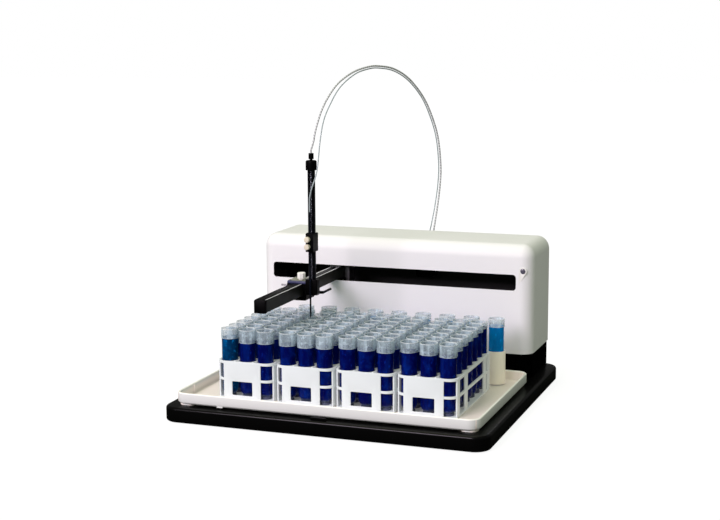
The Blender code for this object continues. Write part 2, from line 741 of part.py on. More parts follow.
def tube_set(places, low, radius):
    """Open tubes with flat floors, whose feet share one thin sheet."""
    mesh = bmesh.new()
    outer = fair_radius(radius, 8)
    inner = fair_radius(radius - TUBE_WALL, 8)
    rim = low + TUBE_LENGTH
    reach = radius
    across = [x for x, y in places]
    deep = [y for x, y in places]
    outline = rectangle(min(across) - reach, max(across) + reach, min(deep) - reach,
                        max(deep) + reach)

    def loop(points, z):
        return [mesh.verts.new((x, y, z)) for x, y in points]

    def skin(lower, upper):
        for k in range(len(lower)):
            mesh.faces.new((lower[k - 1], lower[k], upper[k], upper[k - 1]))

    foot = loop(outline, low)
    lid = loop(outline, low + TUBE_SHEET)
    mesh.faces.new(foot)
    skin(foot, lid)
    borders = [lid]
    for x, y in places:
        rings = [loop(ring_points(x, y, size, 8), z) for size, z in (
            (outer, low + TUBE_SHEET), (outer, rim), (inner, rim), (inner, low + TUBE_BOTTOM))]
        for lower, upper in zip(rings, rings[1:]):
            skin(lower, upper)
        mesh.faces.new(rings[-1])
        borders.append(rings[0])
    edges = [mesh.edges.get((border[k - 1], border[k])) for border in borders
             for k in range(len(border))]
    bmesh.ops.triangle_fill(mesh, edges=edges, use_beauty=True)
    bmesh.ops.recalc_face_normals(mesh, faces=mesh.faces[:])
    return mesh


def make_tubes(number, centre, finishes):
    low = RACK_BASE + RACK_BOTTOM_PLATE + GAP
    piece(f"sample_tubes_{number}", tube_set(rack_places(centre), low, TUBE_RADIUS),
          finishes["clear_tube"])


def make_standards(finishes):
    """Row of linked sleeves with larger tubes; the leftmost place holds the rinse station."""
    places = [STANDARDS_FIRST + k * STANDARDS_PITCH for k in range(STANDARDS_PLACES)]
    floor = TRAY_FLOOR + GAP
    bore = STANDARDS_TUBE_RADIUS + TUBE_HOLE_CLEARANCE
    wall = outside_radius(bore + SLEEVE_WALL, 8)
    low = floor + TUBE_SHEET + GAP
    top = floor + SLEEVE_HEIGHT
    sleeves = places[1:]
    link = rectangle(sleeves[0], sleeves[-1], STANDARDS_Y - SLEEVE_LINK / 2,
                     STANDARDS_Y + SLEEVE_LINK / 2)
    rack = piece("standards_rack", prism(link, low, top), finishes["white_rack"])
    join(rack, gathered([prism(ring_points(x, STANDARDS_Y, wall, 8), low, top)
                         for x in sleeves]))
    cut(rack, gathered([prism(ring_points(x, STANDARDS_Y, outside_radius(bore, 8), 8),
                              floor - OVERRUN, top + OVERRUN) for x in sleeves]))
    piece("standards_tubes",
          tube_set([(x, STANDARDS_Y) for x in sleeves], floor, STANDARDS_TUBE_RADIUS),
          finishes["clear_tube"])

    flange_top = floor + RINSE_FLANGE_THICKNESS
    bore_low = RINSE_TOP - RINSE_BORE_DEPTH
    profile = [(RINSE_FLANGE, floor), (RINSE_FLANGE, flange_top), (RINSE_RADIUS, flange_top),
               (RINSE_RADIUS, RINSE_TOP), (RINSE_BORE, RINSE_TOP), (RINSE_BORE, bore_low)]
    piece("rinse_station", turned(profile, places[0], STANDARDS_Y, 12), finishes["white_rack"],
          smooth=True)


# Housing

def housing_solid(inset, low, back):
    """Block with its front, top and side edges rounded; the back edge stays sharp."""
    half = HOUSING_WIDTH / 2 - inset
    front = HOUSING_FRONT + inset
    top = HOUSING_TOP - inset
    mesh = box(-half, half, front, back, low, top)

    def rounded(edge):
        middle = (edge.verts[0].co + edge.verts[1].co) / 2
        on_front = abs(middle.y - front) < GAP
        on_side = abs(abs(middle.x) - half) < GAP
        on_top = abs(middle.z - top) < GAP
        return on_front + on_side + on_top == 2

    edges = [edge for edge in mesh.edges if rounded(edge)]
    bmesh.ops.bevel(mesh, geom=edges, offset=HOUSING_EDGE - inset, offset_type="OFFSET",
                    segments=HOUSING_EDGE_STEPS, profile=0.5, affect="EDGES")
    bmesh.ops.recalc_face_normals(mesh, faces=mesh.faces[:])
    return mesh


def make_housing(finishes):
    cover = piece("housing_cover", housing_solid(0, HOUSING_BOTTOM, HOUSING_BACK),
                  finishes["white_shell"])
    cut(cover, housing_solid(HOUSING_WALL, HOUSING_BOTTOM - OVERRUN, HOUSING_BACK + OVERRUN))
    slot = rounded_rectangle(SLOT_LEFT, SLOT_RIGHT, SLOT_LOW, SLOT_HIGH, SLOT_CORNER, 2)
    cut(cover, prism(slot, HOUSING_FRONT - OVERRUN, HOUSING_FRONT + HOUSING_WALL + OVERRUN,
                     axis="Y"))
    land = WINDOW_LAMP_RADIUS + LAMP_LAND_WALL
    join(cover, round_bar(land, WINDOW_LAMP_X, WINDOW_LAMP_Z, HOUSING_FRONT,
                          HOUSING_FRONT + LAMP_LAND_LENGTH, 12, "Y"))
    hole = outside_radius(WINDOW_LAMP_RADIUS, 12) + GAP
    cut(cover, turned([(hole, HOUSING_FRONT - OVERRUN),
                       (hole, HOUSING_FRONT + LAMP_LAND_LENGTH + OVERRUN)],
                      WINDOW_LAMP_X, WINDOW_LAMP_Z, 12, "Y"))
    piece("status_window",
          round_bar(WINDOW_LAMP_RADIUS, WINDOW_LAMP_X, WINDOW_LAMP_Z, HOUSING_FRONT + GAP,
                    HOUSING_FRONT + WINDOW_LAMP_LENGTH, 12, "Y"),
          finishes["lens"], smooth=True)


def make_plinth(finishes):
    """Shallow box under the housing, open below."""
    half = HOUSING_WIDTH / 2 - PLINTH_INSET
    front = HOUSING_FRONT + PLINTH_INSET
    low = BASE_TOP + GAP

    def outline(inset):
        radius = PLINTH_CORNER - inset
        points = rounded_rectangle(-half + inset, half - inset, front + inset,
                                   HOUSING_BACK + 2 * radius, radius, 4)
        return [(x, min(y, HOUSING_BACK - inset)) for x, y in points if y < HOUSING_BACK + radius]

    def square_back(inset):
        points = outline(inset)
        front_points = [point for point in points if point[1] < HOUSING_BACK - inset]
        right = [point for point in front_points if point[0] > 0]
        left = [point for point in front_points if point[0] < 0]
        return left + right + [(half - inset, HOUSING_BACK - inset),
                               (-half + inset, HOUSING_BACK - inset)]

    plinth = piece("rear_plinth", prism(square_back(0), low, PLINTH_TOP), finishes["black_base"])
    cut(plinth, prism(square_back(PLINTH_WALL), low - OVERRUN, PLINTH_TOP - PLINTH_WALL))


# Rear panel

def inlet_rectangle(spare):
    return rectangle(INLET_X - INLET_WIDTH / 2 - spare, INLET_X + INLET_WIDTH / 2 + spare,
                     INLET_Z - INLET_HEIGHT / 2 - spare, INLET_Z + INLET_HEIGHT / 2 + spare)


def port_rectangles(spare):
    serial = rectangle(PORT_X - SERIAL_WIDTH / 2 - spare, PORT_X + SERIAL_WIDTH / 2 + spare,
                       PORT_Z - SERIAL_HEIGHT / 2 - spare, PORT_Z + SERIAL_HEIGHT / 2 + spare)
    data_z = PORT_Z - SERIAL_RISE
    data = rectangle(PORT_X - DATA_WIDTH / 2 - spare, PORT_X + DATA_WIDTH / 2 + spare,
                     data_z - DATA_HEIGHT / 2 - spare, data_z + DATA_HEIGHT / 2 + spare)
    return serial, data


def panel_outline(inset):
    """Rear panel's outline: square below, rounded above as the shell is inside."""
    half = HOUSING_WIDTH / 2 - HOUSING_WALL - GAP - inset
    top = HOUSING_TOP - HOUSING_WALL - GAP - inset
    radius = HOUSING_EDGE - HOUSING_WALL
    low = HOUSING_BOTTOM + GAP + inset
    points = [(-half, low), (half, low)]
    for side, start in ((1, 0), (-1, 90)):
        for step in range(HOUSING_EDGE_STEPS + 1):
            angle = math.radians(start + 90 * step / HOUSING_EDGE_STEPS)
            points.append((side * (half - radius) + radius * math.cos(angle),
                           top - radius + radius * math.sin(angle)))
    return points


def make_rear_panel(finishes):
    holes = [inlet_rectangle(GAP), *port_rectangles(GAP)]
    piece("rear_panel", prism(panel_outline(0), PANEL_FRONT, PANEL_BACK, holes, "Y"),
          finishes["black_base"])


def make_inlet(finishes):
    """Power inlet with its blades, and the rocker switch above them in the same body."""
    flange_low = PANEL_BACK + GAP
    face = flange_low + INLET_FLANGE_THICKNESS
    body = piece("power_inlet",
                 prism(inlet_rectangle(0), face - INLET_DEPTH, face - INLET_FLANGE_THICKNESS / 2,
                       axis="Y"),
                 finishes["black_plastic"])
    join(body, prism(inlet_rectangle(INLET_FLANGE), flange_low, face, axis="Y"))
    socket_z = INLET_Z - SOCKET_DROP
    socket = chamfered_rectangle(INLET_X - SOCKET_WIDTH / 2, INLET_X + SOCKET_WIDTH / 2,
                                 socket_z - SOCKET_HEIGHT / 2, socket_z + SOCKET_HEIGHT / 2,
                                 BLADE_WIDTH)
    cut(body, prism(socket, face - SOCKET_DEPTH, face + OVERRUN, axis="Y"))
    for column in (-1, 0, 1):
        x = INLET_X + column * BLADE_PITCH
        z = socket_z + (BLADE_OFFSET if column == 0 else -BLADE_OFFSET)
        blade = rectangle(x - BLADE_WIDTH / 2, x + BLADE_WIDTH / 2, z - BLADE_HEIGHT / 2,
                          z + BLADE_HEIGHT / 2)
        join(body, prism(blade, face - SOCKET_DEPTH - BLADE_WIDTH,
                         face - SOCKET_DEPTH + BLADE_LENGTH, axis="Y"))
    well_z = INLET_Z + ROCKER_RISE
    reach = ROCKER_RADIUS + ROCKER_WELL_CLEARANCE
    half = ROCKER_WIDTH / 2 + ROCKER_WELL_CLEARANCE
    well = rectangle(INLET_X - half, INLET_X + half, well_z - reach, well_z + reach)
    pivot_y = face - ROCKER_PIVOT_DEPTH
    cut(body, prism(well, pivot_y - reach, face + OVERRUN, axis="Y"))

    rest = math.radians(ROCKER_THROW_DEG)
    profile = []
    for degrees, share in ROCKER_FACE_SHARES:
        angle = math.radians(degrees) + rest
        profile.append((pivot_y + share * ROCKER_RADIUS * math.sin(angle),
                        well_z + share * ROCKER_RADIUS * math.cos(angle)))
    piece("power_rocker",
          prism(profile, INLET_X - ROCKER_WIDTH / 2, INLET_X + ROCKER_WIDTH / 2, axis="X"),
          finishes["black_plastic"], origin=(INLET_X, pivot_y, well_z))


def make_data_ports(finishes):
    """Serial connector above a square data socket on one backing block, open to the back."""
    low = PANEL_BACK + PORT_PROUD - PORT_BODY_DEPTH
    high = PANEL_BACK + PORT_PROUD
    half = SERIAL_WIDTH / 2
    backing = rectangle(PORT_X - half, PORT_X + half,
                        PORT_Z - SERIAL_RISE - DATA_HEIGHT / 2, PORT_Z + SERIAL_HEIGHT / 2)
    ports = piece("data_ports", prism(backing, low - PORT_BACKING, low, axis="Y"),
                  finishes["steel"])
    for outline, hollow in zip(port_rectangles(0), port_rectangles(-PORT_WALL)):
        join(ports, prism(outline, low - PORT_BACKING / 2, high, axis="Y"))
        cut(ports, prism(hollow, high - PORT_HOLLOW, high + OVERRUN, axis="Y"))


# Cross drive

def make_brackets(finishes):
    """Upright at each end of the rods, with a shelf for the motor or the idler."""
    shelf_front = BRACKET_FRONT + SHELF_SETBACK
    for name, side, pulley_x in (("left_bracket", -1, CROSS_PULLEY_LEFT),
                                 ("right_bracket", 1, CROSS_PULLEY_RIGHT)):
        outer = side * (INNER_RIGHT - GAP)
        inner = outer - side * BRACKET_WALL
        end = pulley_x - side * CROSS_MOTOR_SIZE / 2
        bracket = piece(name, box(min(outer, inner), max(outer, inner), BRACKET_FRONT,
                                  BRACKET_BACK, HOUSING_BOTTOM, BRACKET_TOP - HOUSING_EDGE / 2),
                        finishes["aluminium"])
        overlap = inner + side * BRACKET_WALL / 2
        join(bracket, box(min(overlap, end), max(overlap, end), shelf_front, BRACKET_BACK,
                          SHELF_LOW, SHELF_LOW + SHELF_THICKNESS))
        hole = MOTOR_PILOT_RADIUS + RUNNING_GAP if side < 0 else SHAFT_RADIUS + RUNNING_GAP
        corner = outside_radius(hole, 12)
        cut(bracket, turned([(corner, SHELF_LOW - OVERRUN),
                             (corner, SHELF_LOW + SHELF_THICKNESS + OVERRUN)],
                            pulley_x, CROSS_PULLEY_Y, 12))


def make_rods(finishes):
    low = INNER_LEFT + GAP + BRACKET_WALL + GAP
    for name, z in (("lower_guide_rod", LOW_ROD_Z), ("upper_guide_rod", HIGH_ROD_Z)):
        piece(name, round_bar(ROD_RADIUS, ROD_Y, z, low, -low, 12, "X"), finishes["steel"],
              smooth=True)


def square_motor(across, up, size, low, high, axis, pilot_end):
    """Square motor body with cut corners and a round pilot on one end."""
    body = prism(chamfered_rectangle(across - size / 2, across + size / 2, up - size / 2,
                                     up + size / 2, MOTOR_CORNER), low, high, axis=axis)
    seat_place = high if pilot_end > 0 else low
    near = seat_place - pilot_end * MOTOR_PILOT_HEIGHT
    far = seat_place + pilot_end * MOTOR_PILOT_HEIGHT
    radius = min(MOTOR_PILOT_RADIUS, size / 3)
    pilot = round_bar(radius, across, up, min(near, far), max(near, far), 12, axis)
    return body, pilot


def pulley(x, y, belt_low, shaft_low, shaft_high):
    """Flanged belt pulley on its shaft."""
    low = belt_low - GAP
    high = belt_low + BELT_WIDTH + GAP
    flange = PULLEY_RADIUS + PULLEY_FLANGE
    profile = [(SHAFT_RADIUS, shaft_low), (SHAFT_RADIUS, low - PULLEY_FLANGE_THICKNESS),
               (flange, low - PULLEY_FLANGE_THICKNESS), (flange, low), (PULLEY_RADIUS, low),
               (PULLEY_RADIUS, high), (flange, high), (flange, high + PULLEY_FLANGE_THICKNESS),
               (SHAFT_RADIUS, high + PULLEY_FLANGE_THICKNESS), (SHAFT_RADIUS, shaft_high)]
    return turned(profile, x, y, 8)


def belt_loop(first, second, crosswise, low, steps=6):
    """Belt on edge round two pulleys of one size, as a ring with round ends."""
    def outline(radius):
        points = []
        for centre, start in ((second, -90), (first, 90)):
            for step in range(steps + 1):
                angle = math.radians(start + 180 * step / steps)
                run = centre[0] + radius * math.cos(angle)
                side = centre[1] + radius * math.sin(angle)
                points.append((run, side))
        return points

    outer = outline(BELT_OUTER_RADIUS)
    inner = outline(BELT_INNER_RADIUS)
    if crosswise:
        outer = [(side, run) for run, side in outer]
        inner = [(side, run) for run, side in inner]
    return prism(outer, low, low + BELT_WIDTH, [inner])


def make_cross_drive(finishes):
    motor_top = SHELF_LOW - GAP
    body, pilot = square_motor(CROSS_PULLEY_LEFT, CROSS_PULLEY_Y, CROSS_MOTOR_SIZE,
                               motor_top - CROSS_MOTOR_LENGTH, motor_top, "Z", 1)
    join(piece("cross_motor", body, finishes["black_plastic"]), pilot)
    shaft_low = motor_top + MOTOR_PILOT_HEIGHT + GAP
    shaft_high = CROSS_BELT_LOW + BELT_WIDTH + 2 * PULLEY_FLANGE_THICKNESS
    piece("cross_drive_pulley",
          pulley(CROSS_PULLEY_LEFT, CROSS_PULLEY_Y, CROSS_BELT_LOW, shaft_low, shaft_high),
          finishes["aluminium"], origin=(CROSS_PULLEY_LEFT, CROSS_PULLEY_Y, CROSS_BELT_LOW),
          smooth=True)
    piece("cross_idler_pulley",
          pulley(CROSS_PULLEY_RIGHT, CROSS_PULLEY_Y, CROSS_BELT_LOW, SHELF_LOW, shaft_high),
          finishes["aluminium"], origin=(CROSS_PULLEY_RIGHT, CROSS_PULLEY_Y, CROSS_BELT_LOW),
          smooth=True)
    piece("cross_belt", belt_loop((CROSS_PULLEY_LEFT, CROSS_PULLEY_Y),
                                  (CROSS_PULLEY_RIGHT, CROSS_PULLEY_Y), False, CROSS_BELT_LOW),
          finishes["belt"])


def make_carrier(finishes, arm_group):
    """Block that slides on both rods, holds the belt behind and bears the arm in front."""
    left = ARM_MIDDLE_X - CARRIER_WIDTH / 2
    right = ARM_MIDDLE_X + CARRIER_WIDTH / 2
    carrier = piece("cross_carrier", box(left, right, CARRIER_FRONT, CARRIER_BACK, CARRIER_LOW,
                                         CARRIER_HIGH),
                    finishes["aluminium"], arm_group)
    belt_face = CROSS_PULLEY_Y - BELT_OUTER_RADIUS - GAP
    join(carrier, box(ARM_MIDDLE_X - CLAMP_WIDTH / 2, ARM_MIDDLE_X + CLAMP_WIDTH / 2,
                      CARRIER_BACK - OVERRUN, belt_face, CROSS_BELT_LOW,
                      CROSS_BELT_LOW + BELT_WIDTH))
    bush_radius = ROD_RADIUS + BUSH_WALL
    for z in (LOW_ROD_Z, HIGH_ROD_Z):
        corner = outside_radius(bush_radius + GAP, 12)
        cut(carrier, turned([(corner, left - OVERRUN), (corner, right + OVERRUN)], ROD_Y, z, 12,
                            "X"))
    for name, z in (("lower_rod_bush", LOW_ROD_Z), ("upper_rod_bush", HIGH_ROD_Z)):
        piece(name, round_ring(bush_radius, fair_radius(ROD_RADIUS, 12) + BUSH_CLEARANCE, ROD_Y,
                               z, left, right, 12, "X"),
              finishes["bronze"], arm_group)


# Arm

def make_arm(finishes, arm_group):
    run = BELT_INNER_RADIUS + BELT_THICKNESS / 2
    floor = ARM_HIGH - ARM_GROOVE_DEPTH
    profile = [(ARM_LEFT, ARM_LOW), (ARM_RIGHT, ARM_LOW), (ARM_RIGHT, ARM_HIGH)]
    for middle in (ARM_MIDDLE_X + run, ARM_MIDDLE_X - run):
        near = middle + ARM_GROOVE_WIDTH / 2
        far = middle - ARM_GROOVE_WIDTH / 2
        profile += [(near, ARM_HIGH), (near, floor), (far, floor), (far, ARM_HIGH)]
    profile.append((ARM_LEFT, ARM_HIGH))
    beam = piece("arm_beam", prism(profile, BEAM_FRONT, ARM_BACK, axis="Y"),
                 finishes["black_arm"], arm_group)
    left = ARM_LEFT + ARM_POCKET_WALL
    right = ARM_RIGHT - ARM_POCKET_WALL
    pocket_floor = floor - PULLEY_FLANGE_THICKNESS - GAP
    cut(beam, box(left, right, BEAM_FRONT - OVERRUN, BEAM_FRONT + ARM_POCKET_LENGTH,
                  pocket_floor, ARM_HIGH + OVERRUN))
    cut(beam, box(left, right, ARM_BACK - ARM_POCKET_LENGTH - ARM_PULLEY_SETBACK / 2,
                  ARM_BACK - ARM_POCKET_WALL, pocket_floor, ARM_HIGH + OVERRUN))
    shaft = outside_radius(SHAFT_RADIUS + RUNNING_GAP, 8)
    cut(beam, turned([(shaft, ARM_LOW - OVERRUN), (shaft, ARM_HIGH)], ARM_MIDDLE_X, ARM_PULLEY_Y,
                     8))
    chamfer = END_CAP_CHAMFER
    front_loop = rectangle(ARM_LEFT + chamfer, ARM_RIGHT - chamfer, ARM_LOW + chamfer,
                           ARM_HIGH - chamfer)
    full_loop = rectangle(ARM_LEFT, ARM_RIGHT, ARM_LOW, ARM_HIGH)
    levels = ((front_loop, ARM_FRONT), (full_loop, ARM_FRONT + chamfer),
              (full_loop, ARM_FRONT + END_CAP_LENGTH))
    piece("arm_end_cap", stack([[(x, y, z) for x, z in loop] for loop, y in levels]),
          finishes["black_plastic"], arm_group)


def make_arm_drive(finishes, arm_group):
    body, pilot = square_motor(ARM_MIDDLE_X, ARM_PULLEY_Y, ARM_MOTOR_SIZE,
                               ARM_MOTOR_TOP - ARM_MOTOR_LENGTH, ARM_MOTOR_TOP, "Z", -1)
    join(piece("arm_motor", body, finishes["black_plastic"], arm_group), pilot)
    shaft_high = ARM_HIGH - GAP
    piece("arm_drive_pulley",
          pulley(ARM_MIDDLE_X, ARM_PULLEY_Y, ARM_BELT_LOW, ARM_LOW, shaft_high),
          finishes["aluminium"], arm_group, (ARM_MIDDLE_X, ARM_PULLEY_Y, ARM_BELT_LOW), True)
    floor = ARM_HIGH - ARM_GROOVE_DEPTH - PULLEY_FLANGE_THICKNESS
    piece("arm_idler_pulley",
          pulley(ARM_MIDDLE_X, IDLER_Y, ARM_BELT_LOW, floor, shaft_high),
          finishes["aluminium"], arm_group, (ARM_MIDDLE_X, IDLER_Y, ARM_BELT_LOW), True)
    piece("arm_belt", belt_loop((IDLER_Y, ARM_MIDDLE_X), (ARM_PULLEY_Y, ARM_MIDDLE_X), True,
                                ARM_BELT_LOW),
          finishes["belt"], arm_group)


# Carriage

def make_carriage(finishes, carriage_group):
    """Block round the arm, plate on top, thumbscrew, side pin and the flag behind."""
    gap = CARRIAGE_CLEARANCE
    profile = [(CARRIAGE_LEFT, CARRIAGE_LOW), (CARRIAGE_RIGHT, CARRIAGE_LOW),
               (CARRIAGE_RIGHT, BLOCK_HIGH), (ARM_RIGHT + gap, BLOCK_HIGH),
               (ARM_RIGHT + gap, ARM_LOW - gap), (ARM_LEFT - gap, ARM_LOW - gap),
               (ARM_LEFT - gap, BLOCK_HIGH), (CARRIAGE_LEFT, BLOCK_HIGH)]
    block = piece("carriage_block", prism(profile, CARRIAGE_FRONT, CARRIAGE_BACK, axis="Y"),
                  finishes["black_arm"], carriage_group)
    pin_y = CARRIAGE_FRONT + SIDE_PIN_SETBACK
    pin_z = BLOCK_HIGH - SIDE_PIN_DROP
    join(block, round_bar(SIDE_PIN_RADIUS, pin_y, pin_z, CARRIAGE_LEFT - SIDE_PIN_LENGTH,
                          CARRIAGE_LEFT + CARRIAGE_LEFT_WALL / 2, 8, "X"))

    bevel = CARRIAGE_PLATE_BEVEL
    wide = rectangle(CARRIAGE_LEFT, CARRIAGE_RIGHT, CARRIAGE_FRONT, CARRIAGE_BACK)
    narrow = rectangle(CARRIAGE_LEFT + bevel, CARRIAGE_RIGHT - bevel, CARRIAGE_FRONT + bevel,
                       CARRIAGE_BACK - bevel)
    levels = ((wide, PLATE_LOW), (wide, PLATE_HIGH - bevel), (narrow, PLATE_HIGH))
    piece("carriage_plate", stack([[(x, y, z) for x, y in loop] for loop, z in levels]),
          finishes["black_arm"], carriage_group)

    screw_x = ARM_MIDDLE_X + THUMBSCREW_SHIFT
    screw_y = CARRIAGE_FRONT + THUMBSCREW_SETBACK
    low = PLATE_HIGH + GAP
    head_low = low + THUMBSCREW_NECK_HEIGHT
    head_high = head_low + THUMBSCREW_HEIGHT
    rim = THUMBSCREW_RADIUS - GAP
    edge = THUMBSCREW_HEIGHT / 8
    profile = [(THUMBSCREW_NECK, low), (THUMBSCREW_NECK, head_low), (THUMBSCREW_RADIUS, head_low),
               (THUMBSCREW_RADIUS, head_high - edge), (rim - edge, head_high)]
    piece("carriage_thumbscrew", turned(profile, screw_x, screw_y, 12), finishes["nylon"],
          carriage_group, (screw_x, screw_y, low), True)

    flag_left = CARRIAGE_RIGHT + GAP + FLAG_SHIFT
    flag_front = CARRIAGE_BACK - CARRIAGE_DEPTH / 4
    flag_low = Z_BLOCK_LOW - GAP - FLAG_HEIGHT
    foot = box(CARRIAGE_RIGHT + GAP, flag_left + FLAG_THICKNESS, flag_front,
               CARRIAGE_BACK, flag_low, flag_low + FLAG_HEIGHT)
    flag = piece("home_flag", foot, finishes["black_plastic"], carriage_group)
    join(flag, box(flag_left, flag_left + FLAG_THICKNESS, CARRIAGE_BACK - FLAG_HEIGHT,
                   flag_front + FLAG_LENGTH, flag_low, flag_low + FLAG_HEIGHT))


# Vertical drive

def make_vertical_drive(finishes, carriage_group):
    left = DRIVE_X - Z_BLOCK_WIDTH / 2
    right = DRIVE_X + Z_BLOCK_WIDTH / 2
    front = DRIVE_Y - Z_BLOCK_LEAD
    back = front + Z_BLOCK_DEPTH
    piece("drive_block", prism(chamfered_rectangle(left, right, front, back, Z_BLOCK_BEVEL),
                               Z_BLOCK_LOW, Z_BLOCK_HIGH),
          finishes["black_plastic"], carriage_group)

    inner = TUBE_OUTER - DRIVE_TUBE_WALL
    half_slot = DRIVE_SLOT_WIDTH / 2
    profile = []
    for radius, turn in ((TUBE_OUTER, 1), (inner, -1)):
        open_angle = math.asin(half_slot / radius)
        start = -math.pi / 2 + open_angle
        sweep = 2 * math.pi - 2 * open_angle
        arc = [(DRIVE_X + radius * math.cos(start + sweep * k / 12),
                DRIVE_Y + radius * math.sin(start + sweep * k / 12)) for k in range(13)]
        profile += arc if turn > 0 else arc[::-1]
    piece("drive_tube", prism(profile, DRIVE_TUBE_LOW, DRIVE_TUBE_TOP), finishes["black_arm"],
          carriage_group, smooth=True)

    cap_low = DRIVE_TUBE_TOP + GAP
    cap_high = cap_low + CAP_HEIGHT
    fitting_low = cap_high + CAP_NECK_HEIGHT
    cap_profile = [(CAP_RADIUS, cap_low), (CAP_RADIUS, cap_high - CAP_BEVEL),
                   (CAP_RADIUS - CAP_BEVEL, cap_high), (CAP_NECK_RADIUS, cap_high),
                   (CAP_NECK_RADIUS, fitting_low), (FITTING_RADIUS, fitting_low),
                   (FITTING_RADIUS, fitting_low + FITTING_HEIGHT)]
    piece("drive_cap", turned(cap_profile, DRIVE_X, DRIVE_Y, 16), finishes["black_plastic"],
          carriage_group, smooth=True)


def make_auger(finishes, carriage_group):
    """Flat strip twisted evenly along its length."""
    low = DRIVE_TUBE_LOW + AUGER_END_GAP
    high = DRIVE_TUBE_TOP - AUGER_END_GAP
    steps = round((high - low) / AUGER_PITCH * AUGER_STEPS_PER_TURN)
    corners = rectangle(-AUGER_WIDTH / 2, AUGER_WIDTH / 2, -AUGER_THICKNESS / 2,
                        AUGER_THICKNESS / 2)
    loops = []
    for step in range(steps + 1):
        z = low + (high - low) * step / steps
        turn = 2 * math.pi * (z - low) / AUGER_PITCH
        loops.append([(DRIVE_X + a * math.cos(turn) - b * math.sin(turn),
                       DRIVE_Y + a * math.sin(turn) + b * math.cos(turn), z)
                      for a, b in corners])
    piece("drive_auger", stack(loops), finishes["steel"], carriage_group,
          (DRIVE_X, DRIVE_Y, low))


def make_probe(finishes, probe_group):
    left = DRIVE_X - SLIDER_WIDTH / 2
    right = DRIVE_X + SLIDER_WIDTH / 2
    front = DRIVE_Y - SLIDER_LEAD
    bore = outside_radius(TUBE_OUTER + SLIDER_BORE_CLEARANCE, 12)
    slider = piece("probe_slider",
                   prism(chamfered_rectangle(left, right, front, DRIVE_Y + SLIDER_TRAIL,
                                             SLIDER_BEVEL), SLIDER_LOW, SLIDER_HIGH),
                   finishes["black_plastic"], probe_group)
    cut(slider, turned([(bore, SLIDER_LOW - OVERRUN), (bore, SLIDER_HIGH + OVERRUN)], DRIVE_X,
                       DRIVE_Y, 12))
    probe_hole = outside_radius(PROBE_RADIUS + GAP, 8)
    cut(slider, turned([(probe_hole, SLIDER_LOW - OVERRUN), (probe_hole, SLIDER_HIGH + OVERRUN)],
                       DRIVE_X, PROBE_Y, 8))
    middle = (SLIDER_LOW + SLIDER_HIGH) / 2
    tip_y = DRIVE_Y - AUGER_WIDTH / 2 - FOLLOWER_GAP
    join(slider, box(DRIVE_X - FOLLOWER_WIDTH / 2, DRIVE_X + FOLLOWER_WIDTH / 2,
                     DRIVE_Y - TUBE_OUTER - SLIDER_BEVEL, tip_y, middle - FOLLOWER_HEIGHT / 2,
                     middle + FOLLOWER_HEIGHT / 2))

    needle = fair_radius(PROBE_RADIUS, 8)
    profile = [(needle / 3, PROBE_TIP), (needle, PROBE_TIP + PROBE_POINT), (needle, PROBE_TOP)]
    piece("probe", turned(profile, DRIVE_X, PROBE_Y, 8), finishes["black_plastic"], probe_group,
          smooth=True)

    knob_x = DRIVE_X - KNOB_SHIFT
    knob_back = front - GAP
    for name, z in (("upper_clamp_knob", UPPER_KNOB_Z), ("lower_clamp_knob", LOWER_KNOB_Z)):
        edge = KNOB_RADIUS / 5
        profile = [(KNOB_RADIUS - edge, knob_back - KNOB_LENGTH),
                   (KNOB_RADIUS, knob_back - KNOB_LENGTH + edge), (KNOB_RADIUS, knob_back)]
        piece(name, turned(profile, knob_x, z, 12, "Y"), finishes["nylon"], probe_group,
              (knob_x, knob_back, z), True)


# Auger motor and the two ports

def make_ports(finishes):
    """Motor behind the panel, and outside it the block that both flexible lines enter."""
    back = PANEL_FRONT - GAP
    body, pilot = square_motor(SHEATH_PORT_X, PORT_FITTING_Z, AUGER_MOTOR_SIZE,
                               back - AUGER_MOTOR_LENGTH, back, "Y", -1)
    join(piece("auger_motor", body, finishes["black_plastic"]), pilot)

    low = PORT_FITTING_Z - PORT_FITTING_SIZE / 2
    high = PORT_FITTING_Z + PORT_FITTING_SIZE / 2
    front = PANEL_BACK + GAP
    outline = chamfered_rectangle(SAMPLE_PORT_X - SAMPLE_FITTING_SIZE / 2,
                                  SHEATH_PORT_X + PORT_FITTING_SIZE / 2, front,
                                  front + PORT_FITTING_REACH, SLIDER_BEVEL)
    block = piece("line_port_block", prism(outline, low, high), finishes["black_plastic"])
    for radius, route in ((PORT_COLLAR_RADIUS, SHEATH_ROUTE), (SAMPLE_COLLAR_RADIUS, LINE_ROUTE)):
        end = arch_point(*route[-1])
        join(block, round_bar(radius, end.x, end.y, high - OVERRUN, high + PORT_COLLAR_HEIGHT,
                              12))


# Electronics

